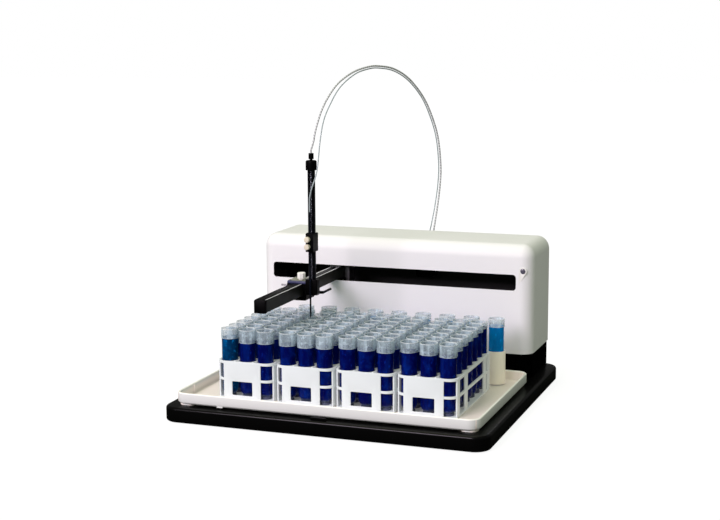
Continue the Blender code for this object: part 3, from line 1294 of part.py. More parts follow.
def make_electronics(finishes):
    floor = HOUSING_BOTTOM
    left = BOARD_LEFT
    front = HOUSING_FRONT + HOUSING_WALL + BOARD_SETBACK
    low = floor + BOARD_RISE
    board = piece("control_board", box(left, left + BOARD_WIDTH, front, front + BOARD_DEPTH, low,
                                       low + BOARD_THICKNESS),
                  finishes["board"])
    for x in (left + STANDOFF_INSET, left + BOARD_WIDTH - STANDOFF_INSET):
        for y in (front + STANDOFF_INSET, front + BOARD_DEPTH - STANDOFF_INSET):
            join(board, round_bar(STANDOFF_RADIUS, x, y, floor, low + BOARD_THICKNESS / 2, 8))
    for k in range(CHIP_COUNT):
        x = left + BOARD_WIDTH * (k + 1) / (CHIP_COUNT + 1)
        y = front + BOARD_DEPTH / 2
        join(board, box(x - CHIP_WIDTH / 2, x + CHIP_WIDTH / 2, y - CHIP_WIDTH / 2,
                        y + CHIP_WIDTH / 2, low + BOARD_THICKNESS / 2,
                        low + BOARD_THICKNESS + CHIP_HEIGHT))
    piece("power_supply", box(SUPPLY_LEFT, SUPPLY_LEFT + SUPPLY_WIDTH, front,
                              front + SUPPLY_DEPTH, floor, floor + SUPPLY_HEIGHT),
          finishes["aluminium"])


# Flexible lines

def arch_point(run, height, side=0):
    """Point of the arch's upright plane, which starts close behind the vertical drive's axis."""
    length = math.hypot(*ARCH_HEADING)
    ahead = (ARCH_HEADING[0] / length, ARCH_HEADING[1] / length)
    return Vector((DRIVE_X + ARCH_SHIFT_X + run * ahead[0] + side * ahead[1],
                   DRIVE_Y + ARCH_SHIFT_Y + run * ahead[1] - side * ahead[0], height))


def smooth_curve(route, count):
    """Points at even steps on a smooth curve through a route, each span a cubic."""
    ends = [route[0] * 2 - route[1], *route, route[-1] * 2 - route[-2]]
    fine = []
    for a, b, c, d in zip(ends, ends[1:], ends[2:], ends[3:]):
        for step in range(SPAN_STEPS):
            t = step / SPAN_STEPS
            fine.append(((b * 2) + (c - a) * t + (a * 2 - b * 5 + c * 4 - d) * t ** 2
                         + (b * 3 - a - c * 3 + d) * t ** 3) / 2)
    fine.append(route[-1])
    travelled = [0.0]
    for first, second in zip(fine, fine[1:]):
        travelled.append(travelled[-1] + (second - first).length)
    points = []
    index = 0
    for k in range(count):
        target = travelled[-1] * k / (count - 1)
        while index < len(fine) - 2 and travelled[index + 1] < target:
            index += 1
        share = (target - travelled[index]) / (travelled[index + 1] - travelled[index])
        points.append(fine[index].lerp(fine[index + 1], share))
    return points, travelled[-1]


def flexible_line(name, route, radius, material):
    points, length = smooth_curve(route, CORD_POINTS)
    curve = bpy.data.curves.new(name, "CURVE")
    curve.dimensions = "3D"
    curve.bevel_depth = radius
    curve.bevel_resolution = 2
    curve.use_fill_caps = True
    spline = curve.splines.new("POLY")
    spline.points.add(len(points) - 1)
    for spot, point in zip(spline.points, points):
        spot.co = (*point, 1.0)
    curve.materials.append(material)
    item = bpy.data.objects.new(name, curve)
    bpy.context.scene.collection.objects.link(item)
    print(f"{name}: {length:.3f} m long")
    return item


def make_lines(finishes):
    fitting_top = (DRIVE_TUBE_TOP + GAP + CAP_HEIGHT + CAP_NECK_HEIGHT + FITTING_HEIGHT)
    port_top = PORT_FITTING_Z + PORT_FITTING_SIZE / 2 + PORT_COLLAR_HEIGHT
    sheath = [arch_point(*place) for place in SHEATH_ROUTE]
    sheath.insert(0, Vector((DRIVE_X, DRIVE_Y, fitting_top + GAP)))
    sheath[1] = Vector((DRIVE_X, DRIVE_Y, fitting_top + GAP + SHEATH_RADIUS * 3))
    end = sheath[-1]
    sheath.append(Vector((end.x, end.y, port_top + GAP)))
    flexible_line("drive_cable_sheath", sheath, SHEATH_RADIUS, finishes["grey_sheath"])
    line = [arch_point(*place) for place in LINE_ROUTE]
    line.insert(0, Vector((DRIVE_X, PROBE_Y, PROBE_TOP + GAP)))
    end = line[-1]
    line.append(Vector((end.x, end.y, port_top + GAP)))
    flexible_line("sample_line", line, LINE_RADIUS, finishes["line"])


def main():
    clear_scene()
    finishes = make_finishes()
    arm_group = group("arm_axis", (ARM_MIDDLE_X, ARM_BACK, ARM_HIGH))
    carriage_group = group("carriage_axis", (DRIVE_X, DRIVE_Y, Z_BLOCK_LOW), arm_group)
    probe_group = group("probe_axis", (DRIVE_X, PROBE_Y, SLIDER_LOW), carriage_group)
    make_base(finishes)
    make_tray(finishes)
    for number, centre in enumerate(rack_centres(), start=1):
        make_rack(number, centre, finishes)
        make_tubes(number, centre, finishes)
    make_standards(finishes)
    make_plinth(finishes)
    make_housing(finishes)
    make_rear_panel(finishes)
    make_inlet(finishes)
    make_data_ports(finishes)
    make_rods(finishes)
    make_brackets(finishes)
    make_cross_drive(finishes)
    make_carrier(finishes, arm_group)
    make_arm(finishes, arm_group)
    make_arm_drive(finishes, arm_group)
    make_carriage(finishes, carriage_group)
    make_vertical_drive(finishes, carriage_group)
    make_auger(finishes, carriage_group)
    make_probe(finishes, probe_group)
    make_ports(finishes)
    make_electronics(finishes)
    make_lines(finishes)


main()
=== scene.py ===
"""Looks of a bench autosampler: tray, racks and tubes in front of a slotted housing with a moving arm."""

import json
import math

import bmesh
import bpy
import numpy as np
from mathutils import Matrix, Vector
from mathutils.geometry import tessellate_polygon


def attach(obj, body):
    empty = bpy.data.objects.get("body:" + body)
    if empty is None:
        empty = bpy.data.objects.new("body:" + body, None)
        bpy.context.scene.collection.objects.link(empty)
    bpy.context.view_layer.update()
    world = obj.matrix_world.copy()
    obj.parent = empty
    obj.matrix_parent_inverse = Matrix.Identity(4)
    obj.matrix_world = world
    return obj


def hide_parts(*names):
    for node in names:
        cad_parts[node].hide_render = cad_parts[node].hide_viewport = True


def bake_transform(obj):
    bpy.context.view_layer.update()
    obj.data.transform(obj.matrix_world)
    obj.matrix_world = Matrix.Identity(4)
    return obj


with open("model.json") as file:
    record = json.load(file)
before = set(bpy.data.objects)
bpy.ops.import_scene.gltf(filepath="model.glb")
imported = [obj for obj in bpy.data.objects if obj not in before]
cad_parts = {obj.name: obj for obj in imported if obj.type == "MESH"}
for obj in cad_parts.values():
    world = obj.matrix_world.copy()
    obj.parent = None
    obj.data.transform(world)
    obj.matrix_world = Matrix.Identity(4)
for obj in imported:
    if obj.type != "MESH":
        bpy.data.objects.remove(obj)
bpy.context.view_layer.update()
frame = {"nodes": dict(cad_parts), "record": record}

TAU = 2 * math.pi
# Clearance between two pieces, and the hair by which thin details stand clear, proud or sunk
GAP, HAIR = 0.0003, 0.0002

# Camera, solved from the photograph: yaw, pitch down and roll in degrees
CAMERA_PLACE, CAMERA_TURNS = (0.8484, -2.36, 0.673), (20.2, 9.417, -0.328)
FOCAL_PIXELS, IMAGE_WIDTH, SENSOR_WIDTH = 1414.13, 720, 36.0


def set_camera():
    yaw, pitch, roll = (math.radians(angle) for angle in CAMERA_TURNS)
    camera = bpy.data.objects.new("camera", bpy.data.cameras.new("camera"))
    camera.data.sensor_width = SENSOR_WIDTH
    camera.data.lens = FOCAL_PIXELS / IMAGE_WIDTH * SENSOR_WIDTH
    camera.data.clip_start = 0.05
    camera.matrix_world = (Matrix.Translation(CAMERA_PLACE) @ Matrix.Rotation(yaw, 4, "Z")
                           @ Matrix.Rotation(math.pi / 2 - pitch, 4, "X")
                           @ Matrix.Rotation(roll, 4, "Z"))
    bpy.context.scene.collection.objects.link(camera)
    bpy.context.scene.camera = camera


# Materials

class Value:
    """A socket's value in a tree of nodes; sums and products of values add Math nodes."""

    def __init__(self, tree, socket):
        self.tree = tree
        self.socket = socket

    def math(self, operation, first, second, clamp=False):
        return self.tree.node("ShaderNodeMath", {"operation": operation, "use_clamp": clamp},
                              {0: first, 1: second})

    def __add__(self, other):
        return self.math("ADD", self, other)

    def __radd__(self, other):
        return self.math("ADD", other, self)

    def __sub__(self, other):
        return self.math("SUBTRACT", self, other)

    def __rsub__(self, other):
        return self.math("SUBTRACT", other, self)

    def __mul__(self, other):
        return self.math("MULTIPLY", self, other)

    def __rmul__(self, other):
        return self.math("MULTIPLY", other, self)

    def clamped(self):
        return self.math("ADD", self, 0.0, True)


class Tree:
    """Nodes of a material or a world."""

    def __init__(self, owner):
        owner.use_nodes = True
        self.nodes, self.links = owner.node_tree.nodes, owner.node_tree.links
        self.nodes.clear()

    def node(self, kind, settings=None, inputs=None, output=0):
        """Adds a node with its settings and inputs, and gives the value of one output."""
        added = self.nodes.new(kind)
        for key, value in (settings or {}).items():
            if key == "stops":
                elements = added.color_ramp.elements
                for element, (position, colour) in zip(elements, (value[0], value[-1])):
                    element.position, element.color = position, (*colour, 1)
                for position, colour in value[1:-1]:
                    elements.new(position).color = (*colour, 1)
            else:
                setattr(added, key, value)
        for key, value in (inputs or {}).items():
            self.feed(added.inputs[key], value)
        return Value(self, added.outputs[output]) if added.outputs else None

    def feed(self, socket, given):
        if isinstance(given, Value):
            self.links.new(given.socket, socket)
        elif isinstance(given, tuple) and len(given) == 3 and socket.type == "RGBA":
            socket.default_value = (*given, 1.0)
        else:
            socket.default_value = given

    def rays(self, kind):
        return self.node("ShaderNodeLightPath", output=f"Is {kind} Ray")


FINISHES = {}


class Finish(Tree):
    """Material round a Principled shader, in Object coordinates, kept in FINISHES by name."""

    def __init__(self, name, **constants):
        self.material = bpy.data.materials.new(name)
        super().__init__(self.material)
        shader = self.nodes.new("ShaderNodeBsdfPrincipled")
        self.sockets = shader.inputs
        self.node("ShaderNodeOutputMaterial", None, {"Surface": Value(self, shader.outputs[0])})
        for key, value in constants.items():
            self.set(key.replace("_", " ").title().replace("Ior", "IOR"), value)
        self.place = self.node("ShaderNodeTexCoord", output="Object")
        FINISHES[name] = self

    def set(self, name, value):
        self.feed(self.sockets[name], value)

    def noise(self, scale, detail=3.0, stretch=None):
        place = self.place
        if stretch:
            place = self.node("ShaderNodeMapping", None, {"Vector": place, "Scale": stretch})
        return self.node("ShaderNodeTexNoise", None,
                         {"Vector": place, "Scale": scale, "Detail": detail})

    def axis(self, name):
        return self.node("ShaderNodeSeparateXYZ", None, {0: self.place}, name)

    def attribute(self, name):
        return self.node("ShaderNodeAttribute", {"attribute_name": name}, output="Fac")

    def mix(self, first, second, factor):
        return self.node("ShaderNodeMix", {"data_type": "RGBA"},
                         {0: factor, 6: first, 7: second}, 2)

    def step(self, value, low, high):
        """0 below low, 1 above high, smooth between."""
        return self.node("ShaderNodeMapRange", {"interpolation_type": "SMOOTHSTEP"},
                         {"Value": value, "From Min": low, "From Max": high})

    def wear(self, colour, roughness=None, height=None, strength=0.0, distance=0.0002):
        """Colour and roughness of the surface, and a bump of the given height."""
        self.set("Base Color", colour)
        if roughness:
            self.set("Roughness", roughness)
        if height:
            self.set("Normal", self.node("ShaderNodeBump", None, {
                "Height": height, "Strength": strength, "Distance": distance}))


def tinted(colour, share):
    return tuple(min(1.0, channel * share) for channel in colour)


def grey(level):
    return (level, level, level)


def plain(name, colour, roughness, grain=700.0, bump=0.25, spread=0.06, tint=0.9, dust=None,
          stretch=None, **constants):
    """Finish with slow patches of tone and gloss, a fine grain, and dust in places."""
    finish = Finish(name, **constants)
    patches = finish.noise(14.0, 4.0)
    fine = finish.noise(grain, 2.0, stretch)
    base = finish.mix(tinted(colour, tint), tinted(colour, 2 - tint), patches)
    if dust:
        specks = finish.step(finish.noise(260.0, 5.0), 0.56, 0.74)
        base = finish.mix(base, dust, specks * 0.35)
    gloss = (patches * 2 * spread + (roughness - 1.5 * spread)) + fine * spread
    finish.wear(base, gloss, fine, bump)


def tube_finish(name, frost, deep, top):
    """Frosted plastic: streaked above its liquid's level, clear below, with a painted highlight at the
    level, and bright at the rim.
    """
    finish = Finish(name, specular_ior_level=0.12)
    height = finish.axis("Z")
    patches = finish.noise(60.0, 3.0)
    streaks = finish.step(finish.noise(150.0, 2.0, (1, 1, 0.07)), 0.38, 0.68)
    flecks = finish.step(finish.noise(170.0, 2.0), 0.5, 0.7)
    above = height - finish.attribute("level") + (patches - 0.5) * 0.0016
    liquid = 1 - finish.step(above, -0.0008, 0.0006)
    # Painted highlight: a pale, less clear line where the liquid meets the wall
    line = finish.step(above, -0.0004, 0.0002) * (1 - finish.step(above, 0.0004, 0.0012))
    rim = finish.step(height, top - 0.0016, top - 0.0008)
    bright = (streaks * 0.6 + flecks * 0.5).clamped()
    wall = finish.mix(tinted(frost, 0.78), tinted(frost, 1.5), bright)
    wall = finish.mix(finish.mix(wall, deep, liquid), (0.62, 0.7, 0.76), line * 0.6)
    finish.wear(finish.mix(wall, (0.7, 0.75, 0.78), rim), 0.42 - 0.2 * liquid,
                finish.noise(420.0, 3.0), 0.15)
    clear = 0.2 + 0.14 * patches + 0.26 * bright
    finish.set("Alpha", clear * (1 - liquid) + 0.05 * liquid + 0.25 * line + 0.22 * rim)


def liquid_finish(name, deep, light, low, high):
    """Coloured liquid with painted light: lighter upright streaks, small bright specks and a faint glow
    of its own colour; grey round its foot.
    """
    finish = Finish(name, roughness=0.16, specular_ior_level=0.08, emission_strength=0.16)
    tone = finish.noise(120.0, 3.0, (1, 1, 0.1))
    cloud = finish.noise(75.0, 3.0)
    # Painted light: lighter upright streaks and clouds stand in for light seen through the liquid
    painted_streaks = finish.step(tone, 0.44, 0.66) * 0.55 + finish.step(cloud, 0.52, 0.68) * 0.55
    # Painted highlight: small bright specks of the lighter colour
    painted_glints = finish.step(finish.noise(300.0, 2.0, (1, 1, 0.5)), 0.64, 0.7)
    tall = high - low
    foot = 1 - finish.step(finish.axis("Z"), low + 0.02 * tall, low + 0.09 * tall)
    base = finish.mix(deep, light, painted_streaks.clamped())
    base = finish.mix(base, tinted(light, 1.8), painted_glints)
    base = finish.mix(base, (0.13, 0.15, 0.2), foot * 0.8)
    finish.wear(base, None, tone, 0.1, 0.0004)
    # Painted light: the liquid glows faintly in its own colour though it is no lamp
    finish.set("Emission Color", base)


def sheath_finish():
    """Wound sheath: light bands and darker seams between them."""
    finish = Finish("grey_sheath")
    worn = finish.noise(90.0, 4.0)
    tone = finish.node("ShaderNodeValToRGB", {"stops": [
        (0.0, (0.3, 0.31, 0.32)), (0.45, (0.44, 0.45, 0.47)), (1.0, (0.66, 0.67, 0.68))]},
        {0: finish.attribute("band") * 0.9 + worn * 0.15})
    finish.wear(tone, 0.36 + worn * 0.2)


def arm_finish():
    """Arm: black anodised, with painted reflection that makes its sides a lighter satin grey than its top
    and front.
    """
    finish = Finish("arm_black", specular_ior_level=0.09)
    facing = finish.node("ShaderNodeNewGeometry", output="True Normal")
    turned = finish.node("ShaderNodeSeparateXYZ", None, {0: facing}, "X")
    grain = finish.noise(500.0, 2.0, (1, 0.08, 1))
    # Painted reflection: the sides, picked by their normal, get a lighter grey with slow patches
    side = finish.mix((0.009, 0.0088, 0.0082), (0.024, 0.0235, 0.022), finish.noise(30.0, 4.0))
    base = finish.mix((0.004, 0.004, 0.0043), side, finish.step(turned * turned, 0.4, 0.7))
    finish.wear(base, 0.42 + 0.1 * grain, grain, 0.3)


def board_finish():
    """Green board with copper tracks, and dark chips above it."""
    finish = Finish("board", coat_weight=0.3)
    tracks = finish.node("ShaderNodeTexBrick", {"offset": 0.37}, {
        "Vector": finish.place, "Scale": 120.0, "Mortar Size": 0.09, "Color1": (0.01, 0.11, 0.04),
        "Color2": (0.012, 0.14, 0.05), "Mortar": (0.05, 0.28, 0.1)})
    chips = finish.step(finish.axis("Z"), 0.0808, 0.0812)
    finish.wear(finish.mix(tracks, (0.012, 0.012, 0.013), chips),
                0.35 + 0.2 * finish.noise(60.0))


def tray_finish():
    """Tray: cool white outside; inside painted lighter and warmer for the light in its hollow, painted
    shade along the foot of its wall, and a painted highlight on the lip.
    """
    finish = Finish("tray", specular_ior_level=0.3)
    patches = finish.noise(14.0, 4.0)
    fine = finish.noise(900.0, 2.0)
    height = finish.axis("Z")
    across = finish.axis("X") * finish.axis("X")
    inside = 1 - finish.step(across, 0.2664 ** 2, 0.2672 ** 2)
    inside = inside * finish.step(finish.axis("Y"), -0.2446, -0.244)
    # Painted shade: darker along the foot of the tray's inner wall
    shade = inside * finish.step(across, 0.26 ** 2, 0.2655 ** 2)
    shade = shade * (1 - finish.step(height, 0.034, 0.042)) * 0.6
    # Painted light: the inside is lighter and warmer than the outside
    base = finish.mix((0.74, 0.75, 0.75), (0.94, 0.86, 0.82), inside)
    base = finish.mix(base, (0.56, 0.5, 0.45), shade)
    # Painted highlight: a lighter band along the top of the lip
    base = finish.mix(base, (0.95, 0.94, 0.9), finish.step(height, 0.0491, 0.0499))
    finish.wear(finish.mix(base, (0.62, 0.6, 0.56), patches * 0.16),
                0.3 + 0.1 * patches + 0.05 * fine, fine, 0.15)


def lid_finish():
    """Carriage plate: olive grey on top, blue grey on its bevelled edges."""
    finish = Finish("plate_top")
    patches = finish.noise(70.0, 3.0)
    top = finish.step(finish.axis("Z"), 0.22135, 0.22148)
    olive = finish.mix((0.16, 0.17, 0.1), (0.21, 0.22, 0.14), patches)
    finish.wear(finish.mix((0.035, 0.04, 0.11), olive, top), 0.34 + 0.12 * patches,
                finish.noise(800.0, 2.0), 0.2)


def make_finishes():
    """Finishes of the CAD nodes' slots and of the scene's own pieces."""
    black = {"specular_ior_level": 0.05}
    plain("black_base", grey(0.0008), 0.44, 900.0, 0.3, dust=grey(0.0015),
          specular_ior_level=0.03, coat_weight=0.3, coat_roughness=0.2)
    plain("black_panel", (0.012, 0.012, 0.013), 0.5)
    plain("black_plinth", grey(0.0003), 0.5, 900.0, 0.3, specular_ior_level=0.005)
    plain("black_arm", (0.0014, 0.0014, 0.0015), 0.45, 500.0, 0.3, stretch=(1, 0.08, 1), **black)
    plain("black_plastic", (0.0012, 0.0012, 0.0014), 0.4, 1200.0, 0.3, **black)
    plain("drive_black", (0.002, 0.0022, 0.0036), 0.3, 700.0, 0.15, stretch=(1, 1, 0.06),
          specular_ior_level=0.14)
    plain("probe_black", (0.004, 0.005, 0.009), 0.3, 700.0, 0.1, **black)
    plain("rubber", grey(0.008), 0.75, 600.0, 0.5, **black)
    plain("lens", (0.085, 0.08, 0.115), 0.2, 200.0, 0.05, coat_weight=0.6)
    # Painted shade: seat_shade makes the rack's seats dark where they lie in shadow under the tubes
    plain("seat_shade", (0.06, 0.07, 0.13), 0.5)
    # Painted shade: shell_inside is near black without gloss, so the housing's inside reads dark through
    # the slot
    plain("shell_inside", grey(0.002), 0.8, specular_ior_level=0.0)
    plain("shell_land", (0.8, 0.79, 0.78), 0.32)
    plain("white_shell", (0.84, 0.83, 0.86), 0.46, 1100.0, 0.12, 0.05, 0.985,
          specular_ior_level=0.25)
    plain("white_tray", (0.77, 0.76, 0.74), 0.34, 900.0, 0.15, 0.05, 0.97)
    # Painted light: white_rack and standards_white glow faintly though they are no lamps
    plain("white_rack", (0.66, 0.71, 0.74), 0.4, 1000.0, 0.2, 0.05, 0.97,
          emission_color=(1.0, 0.97, 0.9), emission_strength=0.09)
    plain("standards_white", (0.95, 0.88, 0.76), 0.42, 1000.0, 0.2, 0.05, 0.96,
          emission_color=(0.95, 0.88, 0.72), emission_strength=0.09)
    plain("nylon", (0.7, 0.64, 0.52), 0.42, 900.0, 0.3)
    plain("white_nylon", (0.84, 0.83, 0.8), 0.4, 900.0, 0.2)
    plain("belt", (0.8, 0.8, 0.86), 0.6, 500.0, 0.4)
    plain("line", (0.34, 0.4, 0.42), 0.25, 300.0, 0.1, coat_weight=0.3)
    plain("steel", (0.52, 0.52, 0.53), 0.24, 500.0, 0.15, stretch=(0.1, 1, 1), metallic=1.0)
    plain("auger_steel", (0.44, 0.47, 0.54), 0.3, 600.0, 0.15, metallic=0.9)
    plain("pin_steel", (0.3, 0.29, 0.31), 0.35, 600.0, 0.15, metallic=0.6)
    plain("bronze", (0.5, 0.3, 0.13), 0.35, 600.0, 0.2, metallic=1.0)
    plain("aluminium", (0.55, 0.55, 0.56), 0.36, 700.0, 0.2, stretch=(1, 0.1, 1), metallic=1.0)
    tube_finish("clear_tube", (0.44, 0.54, 0.61), (0.001, 0.006, 0.1), TUBE_RIM)
    tube_finish("standards_tube", (0.54, 0.63, 0.7), (0.002, 0.15, 0.42), STANDARDS_RIM)
    liquid_finish("sample_liquid", (0.0004, 0.001, 0.058), (0.0006, 0.013, 0.15), 0.038, 0.134)
    liquid_finish("first_liquid", (0.0002, 0.026, 0.085), (0.0006, 0.08, 0.24), 0.038, 0.136)
    liquid_finish("standards_liquid", (0.001, 0.15, 0.42), (0.002, 0.21, 0.56), 0.036, 0.14)
    arm_finish()
    board_finish()
    sheath_finish()
    tray_finish()
    lid_finish()


# Surfaces: each part of a mesh is its points, its faces and whether they are smooth

def quarter(steps):
    return np.linspace(0, math.pi / 2, steps + 1)


def arc(across, up, radius, turn):
    """Points at the given angles round a centre."""
    return np.stack([across + radius * np.cos(turn), up + radius * np.sin(turn)], axis=1)


def circle(across, up, radius, steps=32):
    return arc(across, up, radius, np.arange(steps) / steps * TAU)


def bored(across, up, radius, steps=32):
    """Round outline as a function of its growth."""
    return lambda growth: circle(across, up, radius + growth, steps)


def rounded(left, right, low, high, radius, steps=8):
    """Rectangle with round corners, anticlockwise."""
    corners = [(right - radius, high - radius), (left + radius, high - radius),
               (left + radius, low + radius), (right - radius, low + radius)]
    return np.vstack([arc(*centre, radius, quarter(steps) + number * math.pi / 2)
                      for number, centre in enumerate(corners)])


def framed(left, right, low, high, radius, steps=4, least=1e-5):
    """Rounded rectangle as a function of its inset; its corners shrink down to a least radius."""
    return lambda inset: rounded(left + inset, right - inset, low + inset, high - inset,
                                 max(radius - inset, least), steps)


def mirrored(half, across=0.0):
    """Outline from its right half, turned over about an upright line."""
    half = np.asarray(half, float)
    return np.vstack([half, half[::-1] * (-1, 1)]) + (across, 0)


def grid(points, wrap_rows=False, wrap_columns=True, smooth=True):
    """Faces between neighbouring rows and columns of a table of points."""
    rows, columns = points.shape[:2]
    row = np.arange(rows if wrap_rows else rows - 1)[:, None]
    column = np.arange(columns if wrap_columns else columns - 1)[None, :]
    next_row = (row + 1) % rows
    next_column = (column + 1) % columns
    faces = np.stack([row * columns + column, row * columns + next_column,
                      next_row * columns + next_column, next_row * columns + column], axis=-1)
    return points.reshape(-1, 3), faces.reshape(-1, 4).tolist(), smooth


def cap(points):
    """One flat face over a closed loop."""
    return points, [list(range(len(points)))], False


def lofted(loops, closed=False):
    """Skin through equal loops, with a flat face at each end unless it closes on itself."""
    loops = np.asarray(loops, float)
    skin = grid(loops, wrap_rows=closed)
    return [skin] if closed else [skin, cap(loops[0]), cap(loops[-1])]


def lifted(flat, height, axis="Z"):
    """Points of a flat outline at a height along the Z or the Y axis."""
    flat = np.asarray(flat, float)
    level = np.full((len(flat), 1), float(height))
    parts = [flat, level] if axis == "Z" else [flat[:, :1], level, flat[:, 1:]]
    return np.hstack(parts)


def risen(outline, rows, axis="Z"):
    """Skin of an outline carried through rows of inset and height."""
    return lofted([lifted(outline(inset), height, axis) for inset, height in rows])


def extruded(section, low, high, axis="Z"):
    return lofted([lifted(section, low, axis), lifted(section, high, axis)])


def edge_rows(low, high, low_edge, high_edge, steps=3):
    """Inset and height of the rows that round a wall's two edges."""
    lower = arc(low_edge, low + low_edge, low_edge, 1.5 * math.pi - quarter(steps))
    upper = arc(high_edge, high - high_edge, high_edge, math.pi - quarter(steps))
    return np.vstack([lower, upper])


def plate(outer, holes, low, high, edge, axis="Z", steps=3):
    """Slab with rounded edges: outer(inset) gives its outline, hole(growth) each opening's."""
    rows = edge_rows(low, high, edge, edge, steps)
    parts = [grid(np.stack([lifted(outline(inset), height, axis) for inset, height in rows]))
             for outline in (outer, *holes)]
    loops = [outline(edge) for outline in (outer, *holes)]
    flat = np.vstack(loops)
    fill = tessellate_polygon([[Vector((x, y, 0)) for x, y in loop] for loop in loops])
    for height in (low, high):
        parts.append((lifted(flat, height, axis), [list(face) for face in fill], False))
    return parts


def slab(left, right, front, back, low, high, edge=0.0006, corner=None):
    """Block with rounded edges and upright corners."""
    return plate(framed(left, right, front, back, corner or edge), [], low, high, edge)


def stepped(low, *steps):
    """Profile of (radius, height) that leaves the axis, runs up or down at each step's radius to
    the step's height, and comes back to the axis."""
    points = [(0, low)]
    for radius, height in steps:
        points += [(radius, points[-1][1]), (radius, height)]
    return points + [(0, points[-1][1])]


def fillet(profile, sizes, steps=4):
    """Open profile of (radius, height) with its inner corners rounded to the given sizes."""
    points = [np.asarray(profile[0], float)]
    for before, here, after, size in zip(profile, profile[1:], profile[2:], sizes):
        before, here, after = (np.asarray(p, float) for p in (before, here, after))
        reach = min(size, 0.45 * np.linalg.norm(before - here), 0.45 * np.linalg.norm(after - here))
        start = here + (before - here) / np.linalg.norm(before - here) * reach
        end = here + (after - here) / np.linalg.norm(after - here) * reach
        share = np.linspace(0, 1, steps + 1)[:, None]
        points.extend((1 - share) ** 2 * start + 2 * share * (1 - share) * here + share ** 2 * end)
    points.append(np.asarray(profile[-1], float))
    return np.array(points)


def revolved(profile, places, steps=32, axis="Z", lobes=0, depth=0.0):
    """Profile of (radius, height) turned about parallel axes; lobes ripple its radius evenly."""
    profile = np.asarray(profile, float)
    turn = np.arange(steps) / steps * TAU
    radius = profile[:, :1] * (1 + depth * np.cos(lobes * turn))
    height = np.repeat(profile[:, 1:], steps, axis=1)
    points, faces, smooth = grid(np.stack([radius * np.cos(turn), radius * np.sin(turn), height],
                                          axis=-1))
    shifts = np.hstack([np.asarray(places, float), np.zeros((len(places), 1))])
    copies = (points[None] + shifts[:, None]).reshape(-1, 3)
    numbers = np.asarray(faces)[None] + np.arange(len(places))[:, None, None] * len(points)
    order = {"Z": [0, 1, 2], "Y": [0, 2, 1], "X": [2, 0, 1]}[axis]
    return [(copies[:, order], numbers.reshape(-1, 4).tolist(), smooth)]


def tube_along(path, radius, side):
    """Round tube whose circles stand square to a path; side keeps their turn steady."""
    ahead = np.gradient(path, axis=0)
    ahead /= np.linalg.norm(ahead, axis=1, keepdims=True)
    across = side - ahead * (ahead @ side)[:, None]
    across /= np.linalg.norm(across, axis=1, keepdims=True)
    up = np.cross(ahead, across)
    turn = (np.arange(radius.shape[1]) / radius.shape[1] * TAU)[None, :, None]
    points = path[:, None] + radius[..., None] * (across[:, None] * np.cos(turn)
                                                  + up[:, None] * np.sin(turn))
    return [grid(points), cap(points[0]), cap(points[-1])]


def mark_rims(mesh):
    """Marks the open edges of a sheet as sharp, so its wall's rims keep flat shading."""
    used = np.zeros(len(mesh.loops), int)
    mesh.loops.foreach_get("edge_index", used)
    crisp = np.zeros(len(mesh.edges), bool)
    mesh.edges.foreach_get("use_edge_sharp", crisp)
    rims = np.bincount(used, minlength=len(mesh.edges)) == 1
    mesh.edges.foreach_set("use_edge_sharp", crisp | rims)


def make(name, parts, finish, node=None, body="frame", sharp=40.0, attributes=None,
         solid=None, inner=None):
    """One object from parts: doubles merged, faces outward, shaded, riding on its body."""
    points = np.vstack([part[0] for part in parts])
    starts = np.cumsum([0] + [len(part[0]) for part in parts[:-1]])
    faces = [[start + number for number in face] for start, part in zip(starts, parts)
             for face in part[1]]
    mesh = bpy.data.meshes.new(name)
    mesh.from_pydata(points.tolist(), [], faces)
    mesh.polygons.foreach_set("use_smooth", [part[2] for part in parts for face in part[1]])
    for key, values in (attributes or {}).items():
        mesh.attributes.new(key, "FLOAT", "POINT").data.foreach_set(
            "value", np.asarray(values, np.float32).ravel())
    shape = bmesh.new()
    shape.from_mesh(mesh)
    bmesh.ops.remove_doubles(shape, verts=shape.verts[:], dist=2e-6)
    bmesh.ops.dissolve_degenerate(shape, dist=1e-7, edges=shape.edges[:])
    bmesh.ops.recalc_face_normals(shape, faces=shape.faces[:])
    shape.to_mesh(mesh)
    shape.free()
    mesh.set_sharp_from_angle(angle=math.radians(sharp))
    item = bpy.data.objects.new(name, mesh)
    bpy.context.scene.collection.objects.link(item)
    mesh.materials.append(FINISHES[finish].material)
    if solid:
        mark_rims(mesh)
        mesh.materials.append(FINISHES[inner].material)
        wall = item.modifiers.new("wall", "SOLIDIFY")
        wall.thickness = solid
        wall.offset = -1.0
        wall.use_even_offset = True
        wall.material_offset = 1
        wall.material_offset_rim = 1
    if body:
        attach(item, body)
    if node:
        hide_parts(node)
    return item


# Base, its tab and feet

BASE_HALF, BASE_FRONT, BASE_BACK, BASE_TOP, BASE_CORNER = 0.29, -0.265, 0.265, 0.028, 0.028
BASE_LOW, BASE_LOW_EDGE, BASE_TOP_EDGE = 0.0015, 0.004, 0.005
POCKET_INSET, POCKET_TOP = 0.007, 0.025
TAB_HALF, TAB_FRONT, TAB_EDGE = 0.0135, -0.26, 0.0007
FOOT_X, FOOT_Y, FOOT_RADIUS, FOOT_HIGH = 0.245, 0.22, 0.01, 0.0027


